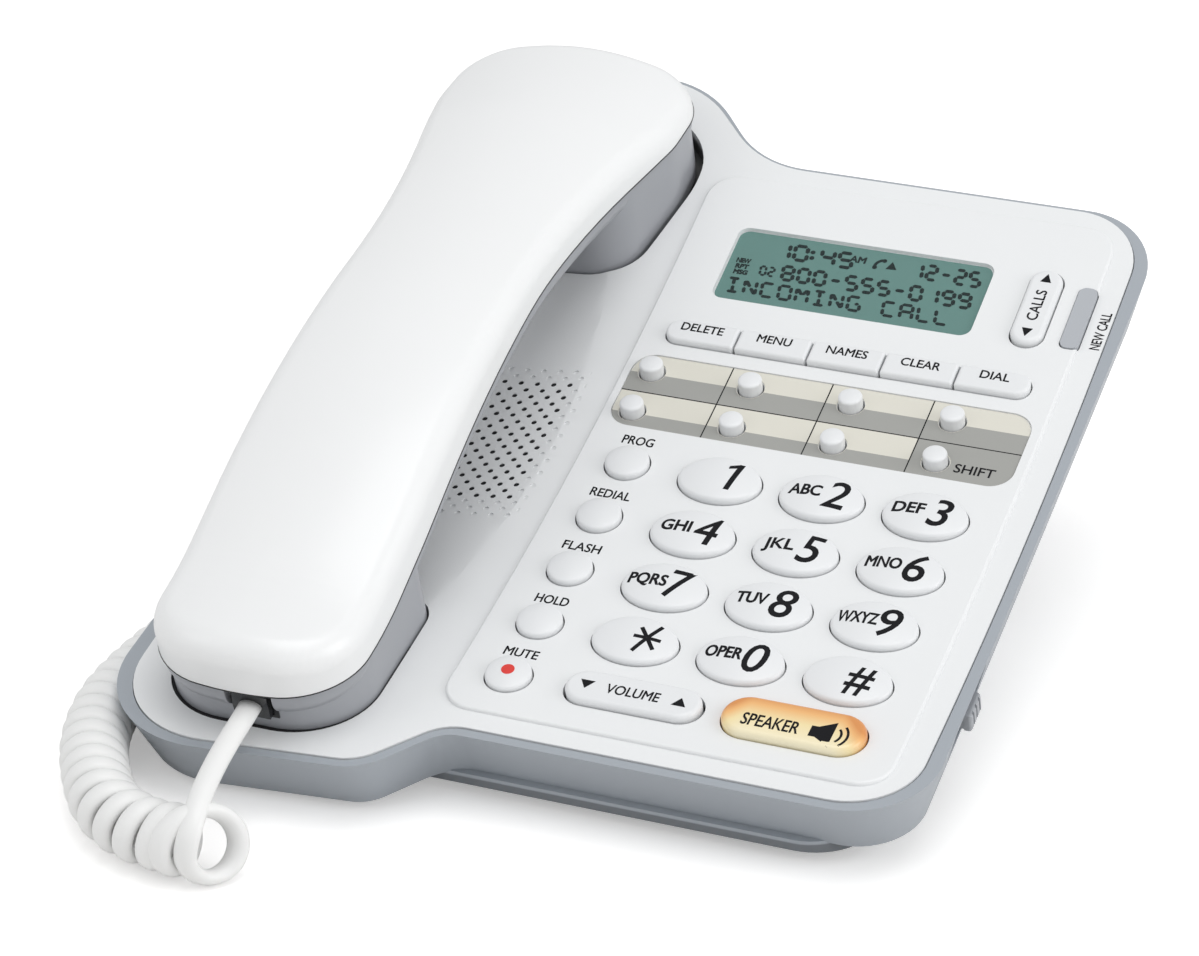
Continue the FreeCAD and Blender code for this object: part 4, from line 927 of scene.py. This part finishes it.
# Digit keys: small letters at the left, a large leaning digit at the right
digitKeys = {
    "x": 14.3, "y": -2.3, "pitchX": 22.0, "pitchY": 16.5,
    "order": ["1", "2", "3", "4", "5", "6", "7", "8", "9", "star", "0", "hash"],
    # the letters and their width
    "letters": {
        "2": ("ABC", 6.9), "3": ("DEF", 6.8), "4": ("GHI", 6.5), "5": ("JKL", 6.6), "6": ("MNO", 7.5),
        "7": ("PQRS", 8.2), "8": ("TUV", 6.7), "9": ("WXYZ", 8.4), "0": ("OPER", 7.7),
    },
    "digitHeight": 7.8, "digitSlant": 0.15, "digitBold": 0.09, "digitNarrow": 0.90,
    "lettersHeight": 3.2, "lettersBold": 0.12,
    "starStroke": 0.85, "oneStroke": 1.15,
    "hashHeight": 7.4, "hashSlant": 0.12, "hashBold": 0.12, "hashNarrow": 0.82,
    "digitShift": (3.1, 0.6), "lettersShift": (-3.5, 0.7), "signShift": (2.6, 0.3),
}


def starSign(size, wide):
    # two crossed slanting strokes and a level one
    lean = digitKeys["digitSlant"] * size / 2
    return shapes([
        bar(-size * 0.17 - lean, -size / 2, size * 0.17 + lean, size / 2, wide),
        bar(size * 0.30 - lean * 0.6, -size * 0.33, -size * 0.30 + lean * 0.6, size * 0.33, wide),
        bar(-size * 0.36, 0, size * 0.36, 0, wide),
    ])


def oneSign(size, wide):
    # an upright stroke with a short flag, both leaning
    lean = digitKeys["digitSlant"] * size
    foot, top = -lean / 2 - wide / 2, lean / 2 - wide / 2
    flagTop, flagLow = size / 2 - wide * 0.9, size / 2 - wide * 1.7
    aside = size * 0.24
    return shapes([
        [(foot, -size / 2), (foot + wide, -size / 2), (top + wide, size / 2), (top, size / 2)],
        [
            (top - aside, flagLow), (top - lean * 0.2, flagLow + wide * 0.5),
            (top + wide * 0.2, size / 2), (top - aside, flagTop),
        ],
    ])


def keySign(name):
    if name == "star":
        return starSign(digitKeys["digitHeight"], digitKeys["starStroke"])
    if name == "1":
        return oneSign(digitKeys["digitHeight"], digitKeys["oneStroke"])
    kind = "hash" if name == "hash" else "digit"
    height, slant, bold, narrow = (digitKeys[kind + what] for what in ("Height", "Slant", "Bold", "Narrow"))
    return word("#" if name == "hash" else name, height, slant=slant, bold=bold, narrow=narrow)


for index, name in enumerate(digitKeys["order"]):
    x = digitKeys["x"] + index % 3 * digitKeys["pitchX"]
    y = digitKeys["y"] - index // 3 * digitKeys["pitchY"]
    aside, above = digitKeys["signShift" if name in ("star", "hash") else "digitShift"]
    marks = [(keySign(name), x + aside, y + above, 0)]
    if name in digitKeys["letters"]:
        letters, wide = digitKeys["letters"][name]
        aside, above = digitKeys["lettersShift"]
        letterMesh = word(letters, digitKeys["lettersHeight"], wide, bold=digitKeys["lettersBold"])
        marks.append((letterMesh, x + aside, y + above, 0))
    layPrint("legend_" + name, marks, "key_" + name, "key_" + name, finishes["ink"])
print("digits printed")

# Words beside the round keys, on the soft keys, rockers and speaker key
functionKeys = {
    "x": -6.3, "y": -1.5, "pitch": 16.5, "rise": 7.25, "height": 2.5,
    "words": [("PROG", 6.9), ("REDIAL", 8.7), ("FLASH", 8.2), ("HOLD", 7.1), ("MUTE", 7.2)],
    "callWord": (77.6, 58.9),   # the word beside the call light
}
marks = []
for index, (letters, wide) in enumerate(functionKeys["words"]):
    y = functionKeys["y"] - index * functionKeys["pitch"] + functionKeys["rise"]
    marks.append((smallWord(letters, functionKeys["height"], wide), functionKeys["x"] - 0.2, y, 0))
marks.append((smallWord("NEW CALL", 2.2, 10.8), *functionKeys["callWord"], 90))
layPrint("coverWords", marks, "top_cover", "base", finishes["ink"])

softKeys = {
    "left": -12.1, "right": 68.6, "y": 39.5, "height": 2.3,
    "words": [("DELETE", 9.4), ("MENU", 7.6), ("NAMES", 9.0), ("CLEAR", 8.6), ("DIAL", 6.4)],
}
softPitch = (softKeys["right"] - softKeys["left"]) / len(softKeys["words"])
for index, (letters, wide) in enumerate(softKeys["words"]):
    x = softKeys["left"] + (index + 0.5) * softPitch
    node = "soft_key_%d" % (index + 1)
    marks = [(smallWord(letters, softKeys["height"], wide), x, softKeys["y"], 0)]
    layPrint("softWord_%d" % (index + 1), marks, node, node, finishes["ink"])


def arrow(wide, tall):
    return shapes([[(-wide / 2, -tall / 2), (wide / 2, -tall / 2), (0, tall / 2)]])


rockers = {
    "volumeX": 19.8, "volumeY": -67.1, "volumeArrows": 9.7,
    "listX": 63.1, "listY": 61.3, "listArrows": 8.0,
}
layPrint("volumeWord", [
    (smallWord("VOLUME", 2.7, 11.0), rockers["volumeX"], rockers["volumeY"], 0),
    (arrow(3.0, 2.4), rockers["volumeX"] - rockers["volumeArrows"], rockers["volumeY"], 180),
    (arrow(3.0, 2.4), rockers["volumeX"] + rockers["volumeArrows"], rockers["volumeY"], 0),
], "volume_rocker", "volume_rocker", finishes["ink"])
layPrint("listWord", [
    (smallWord("CALLS", 2.4, 8.8), rockers["listX"], rockers["listY"], 90),
    (arrow(2.4, 2.4), rockers["listX"], rockers["listY"] + rockers["listArrows"], 0),
    (arrow(2.4, 2.4), rockers["listX"], rockers["listY"] - rockers["listArrows"], 180),
], "call_list_rocker", "call_list_rocker", finishes["ink"])

speakerSign = {"x": 59.8, "y": -68.2, "words": 48.4, "waves": (2.7, 4.0), "waveWide": 0.5, "spread": 42.0}


def bow(inner, outer, start, end, steps=8):
    # a flat arc, as a row of four sided outlines
    turns = [start + (end - start) * k / steps for k in range(steps + 1)]
    return [
        [around(inner, first), around(outer, first), around(outer, last), around(inner, last)]
        for first, last in zip(turns, turns[1:])
    ]


def speakerShape():
    outlines = [[(-3.5, -1.5), (-2.1, -1.5), (1.1, -3.5), (1.1, 3.5), (-2.1, 1.5), (-3.5, 1.5)]]
    half, spread = speakerSign["waveWide"] / 2, speakerSign["spread"]
    for radius in speakerSign["waves"]:
        outlines += bow(radius - half, radius + half, -spread, spread)
    return shapes(outlines)


layPrint("speakerWord", [
    (word("SPEAKER", 3.4, 11.6, bold=0.06), speakerSign["words"], speakerSign["y"], 0),
    (speakerShape(), speakerSign["x"], speakerSign["y"], 0),
], "speaker_key", "speaker_key", finishes["ink"])
muteDot = {"radius": 1.35, "x": -6.3, "y": -67.3}
layPrint(
    "muteDot", [(shapes([disc(muteDot["radius"])]), muteDot["x"], muteDot["y"], 0)],
    "key_mute", "key_mute", finishes["red"],
)
print("words printed")


# Directory card: cream strips to write on, grey strips, thin rules
card = {
    "left": -15.55, "right": 71.75, "low": 9.95, "high": 31.35, "corner": 4.85, "top": 0.2, "row": 20.2,
    "strips": (25.8, 13.7), "columns": (5.6, 27.7, 49.85), "rule": 0.26,
    "buttonX": -11.0, "buttonY": 26.4, "buttonPitchX": 22.09, "buttonPitchY": 12.1, "buttonHole": 3.1,
    "word": (63.8, 13.6),
}


def oblong(left, low, right, high):
    return [(left, low), (right, low), (right, high), (left, high)]


def roundedOutline(left, low, right, high, corners, steps=8):
    # corners: radii at low right, high right, high left and low left
    points = []
    centres = ((right, low, -90), (right, high, 0), (left, high, 90), (left, low, 180))
    for (x, y, start), radius in zip(centres, corners):
        x += -radius if x == right else radius
        y += -radius if y == high else radius
        count = steps if radius else 0
        for k in range(count + 1):
            points.append(around(radius, start + (90 * k / count if count else 45), x, y))
    return points


def cutAcross(bm, geom, place, angle):
    bmesh.ops.bisect_plane(bm, geom=geom, plane_co=(*place, 0), plane_no=(*around(1, angle), 0), dist=1e-5)


def withoutDiscs(bm, places, radius, sides=24):
    # takes round holes out of a flat mesh
    for x, y in places:
        for angle in (0, 90, 180, 270):
            cutAcross(bm, bm.verts[:] + bm.edges[:] + bm.faces[:], around(radius, angle, x, y), angle)
        for k in range(sides):
            inside = [
                face for face in bm.faces
                if max(abs(face.calc_center_median().x - x), abs(face.calc_center_median().y - y)) < radius
            ]
            edges = {edge for face in inside for edge in face.edges}
            verts = {vertex for face in inside for vertex in face.verts}
            angle = 360 * k / sides
            cutAcross(bm, [*verts, *edges, *inside], around(radius, angle, x, y), angle)
        limit = radius * math.cos(math.pi / sides)
        middles = [(face, face.calc_center_median()) for face in bm.faces]
        gone = [face for face, middle in middles if (middle - Vector((x, y, 0))).length < limit]
        bmesh.ops.delete(bm, geom=gone, context="FACES")
    return bm


corner = card["corner"]
upperStrip, lowerStrip = card["strips"]
buttonPlaces = [
    (card["buttonX"] + column * card["buttonPitchX"], card["buttonY"] - row * card["buttonPitchY"])
    for row in range(2) for column in range(4)
]
laySheet("directoryShade", [
    oblong(card["left"], card["row"], card["right"], upperStrip),
    roundedOutline(card["left"], card["low"], card["columns"][2], lowerStrip, [0, 0, 0, corner]),
    roundedOutline(card["columns"][2], card["low"], card["right"], card["row"], [corner, 0, 0, 0]),
], card["top"] - 0.02, 0.06, "card", finishes["shade"], holes=buttonPlaces)
half = card["rule"] / 2
rules = [oblong(x - half, card["low"], x + half, card["high"]) for x in card["columns"]]
rules.append(oblong(card["left"], card["row"] - half, card["right"], card["row"] + half))
for index, rule in enumerate(rules):
    laySheet("directoryRule_%d" % index, [rule], card["top"] - 0.03, 0.08, "card", finishes["ink"])
shiftWord = sliced([(word("SHIFT", 2.5, 8.6, bold=0.04), *card["word"], 0)], 1.5)
thicken(shiftWord, faceAt(card["top"] - 0.05), faceAt(card["top"] + 0.05))
addObject("directoryWord", meshFrom(shiftWord, "directoryWord"), "base", finishes["ink"])
print("directory card done")


# Display: a clear pane over a grey green screen with dark segments
display = {
    "box": (-6.3, 51.1, 50.9, 71.9),   # left, low, right, high
    "corner": 2.3, "lean": -0.16,
    "pane": (0.32, 0.25),   # depth of its top, and its thickness
    "screen": (0.72, 0.15),
}
outline = roundedOutline(*display["box"], [display["corner"]] * 4)
pane = laySheet("displayPane", [outline], *display["pane"], "clear_window", finishes["window"])
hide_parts("lcd_window")
laySheet("displayScreen", [outline], *display["screen"], "display", finishes["display"])

# Strokes on a cell that is 1 wide and 2 high
strokes = {
    "a": (0, 2, 1, 2), "b": (1, 2, 1, 1), "c": (1, 1, 1, 0), "d": (1, 0, 0, 0),
    "e": (0, 0, 0, 1), "f": (0, 1, 0, 2), "h": (0.5, 1, 1, 1), "i": (0.05, 2, 0.5, 1),
    "j": (0.5, 2, 0.5, 1), "k": (0.95, 2, 0.5, 1), "m": (0.5, 1, 0.5, 0), "n": (0.5, 1, 1, 0),
    "p": (0, 1, 1, 1),
}
glyphs = {
    "0": "abcdef", "1": "bc", "2": "abped", "4": "fpbc", "5": "afpcd", "8": "abcdefp", "9": "abcdfp",
    "A": "efabcp", "C": "afed", "G": "afedch", "I": "adjm", "L": "fed", "M": "efikbc", "N": "efinbc",
    "O": "abcdef", " ": "", "-": "p",
}


def segmentRow(letters, left, low, wide, tall, gap, stroke):
    outlines = []
    x = left
    for letter in letters:
        if letter == ":":
            for part in (0.3, 0.7):
                outlines.append(disc(stroke * 0.6, 12, x + display["lean"] * tall * part, low + tall * part))
            x += gap + stroke
            continue
        for key in glyphs[letter]:
            ax, ay, bx, by = strokes[key]
            first = Vector((x + ax * wide + display["lean"] * tall * ay / 2, low + ay * tall / 2))
            last = Vector((x + bx * wide + display["lean"] * tall * by / 2, low + by * tall / 2))
            way = (last - first).normalized()
            side = Vector((-way.y, way.x)) * stroke / 2
            tip = way * stroke / 2
            inner, outer = first + tip * 1.15, last - tip * 1.15
            outlines.append([
                tuple(inner - tip * 0.8), tuple(inner - side), tuple(outer - side),
                tuple(outer + tip * 0.8), tuple(outer + side), tuple(inner + side),
            ])
        x += wide + gap
    return outlines


displayRows = [
    # letters, left, low, wide, tall, gap, stroke
    ("10:45", 3.4, 65.7, 2.8, 4.1, 1.2, 0.92),
    ("12-25", 34.0, 65.9, 2.1, 4.0, 1.1, 0.86),
    ("02", 1.6, 59.9, 1.2, 2.5, 0.7, 0.56),
    ("800-555-0199", 6.7, 59.5, 2.35, 3.9, 1.25, 0.88),
    ("INCOMING CALL", -4.0, 53.8, 2.6, 3.9, 1.3, 0.78),
]
outlines = []
for row in displayRows:
    outlines += segmentRow(*row)
outlines.append([(27.8, 67.0), (30.2, 67.2), (28.8, 69.3)])
screenTop = display["screen"][0]
laySheet("displaySegments", outlines, screenTop - 0.05, 0.1, "display", finishes["segment"])

# A small tilted receiver: a bow with two ends
receiver = {"inner": 1.7, "outer": 2.4, "start": 110, "end": 180, "endRadius": 0.55, "x": 27.3, "y": 67.4}


def receiverSign():
    middle = (receiver["inner"] + receiver["outer"]) / 2
    outlines = bow(receiver["inner"], receiver["outer"], receiver["start"], receiver["end"])
    for angle, aside, above in ((receiver["start"] - 2, 0.3, -0.1), (receiver["end"] + 2, 0.1, -0.3)):
        x, y = around(middle, angle)
        outlines.append(disc(receiver["endRadius"], 12, x + aside, y + above))
    return shapes(outlines)


smallWords = [
    # letters, height, width, x, y
    ("AM", 1.9, 3.7, 21.2, 68.5),
    ("NEW", 1.4, 3.2, -3.1, 63.2),
    ("RPT", 1.4, 3.0, -2.9, 61.5),
    ("MSG", 1.4, 3.2, -2.7, 59.8),
]
marks = [(word(letters, height, wide, bold=0.1), x, y, 0) for letters, height, wide, x, y in smallWords]
marks.append((receiverSign(), receiver["x"], receiver["y"], 0))
small = sliced(marks, 3.0)
thicken(small, faceAt(screenTop - 0.05), faceAt(screenTop + 0.05))
addObject("displaySmall", meshFrom(small, "displaySmall"), "base", finishes["segment"])
print("display done")


# Floor, soft light and the pale background
studio = {
    "floorColor": (0.90, 0.89, 0.88), "floorGlow": 0.36,
    "worldStrength": 0.64, "worldColor": (0.98, 0.99, 1.0),
    "lamps": [
        # name, place, size, power
        ("overhead", (0.15, -0.15, 1.3), 0.9, 4.6),
        ("frontLeft", (-0.9, -0.8, 0.8), 0.8, 1.3),
        ("right", (1.3, -0.1, 0.6), 0.9, 5.5),
    ],
}
floorMaterial = bpy.data.materials.new("paleFloor")
floorMaterial.use_nodes = True
floorTree = floorMaterial.node_tree
floorShader = floorTree.nodes["Principled BSDF"]
floorShader.inputs["Base Color"].default_value = (*studio["floorColor"], 1)
floorShader.inputs["Roughness"].default_value = 0.8
floorShader.inputs["Emission Color"].default_value = (1, 1, 1, 1)
cameraRay = floorTree.nodes.new("ShaderNodeLightPath")
glow = mathNode(floorTree, "MULTIPLY", cameraRay.outputs["Is Camera Ray"], studio["floorGlow"])
floorTree.links.new(glow, floorShader.inputs["Emission Strength"])
floorMesh = bpy.data.meshes.new("floor")
floorMesh.from_pydata([(-6, -6, 0), (6, -6, 0), (6, 6, 0), (-6, 6, 0)], [], [(0, 1, 2, 3)])
floorMesh.materials.append(floorMaterial)
floor = bpy.data.objects.new("floor", floorMesh)
floor.location.z = -0.0002
bpy.context.scene.collection.objects.link(floor)

world = bpy.data.worlds.new("paleRoom")
world.use_nodes = True
bpy.context.scene.world = world
worldBack = world.node_tree.nodes["Background"]
worldBack.inputs["Color"].default_value = (*studio["worldColor"], 1)
worldBack.inputs["Strength"].default_value = studio["worldStrength"]
for name, place, size, power in studio["lamps"]:
    data = bpy.data.lights.new(name, "AREA")
    data.shape = "DISK"
    data.size = size
    data.energy = power
    lamp = bpy.data.objects.new(name, data)
    lamp.location = place
    lamp.rotation_euler = (Vector((0, 0, 0.04)) - Vector(place)).to_track_quat("-Z", "Y").to_euler()
    bpy.context.scene.collection.objects.link(lamp)
bpy.context.scene.view_settings.view_transform = "Standard"
print("light set")
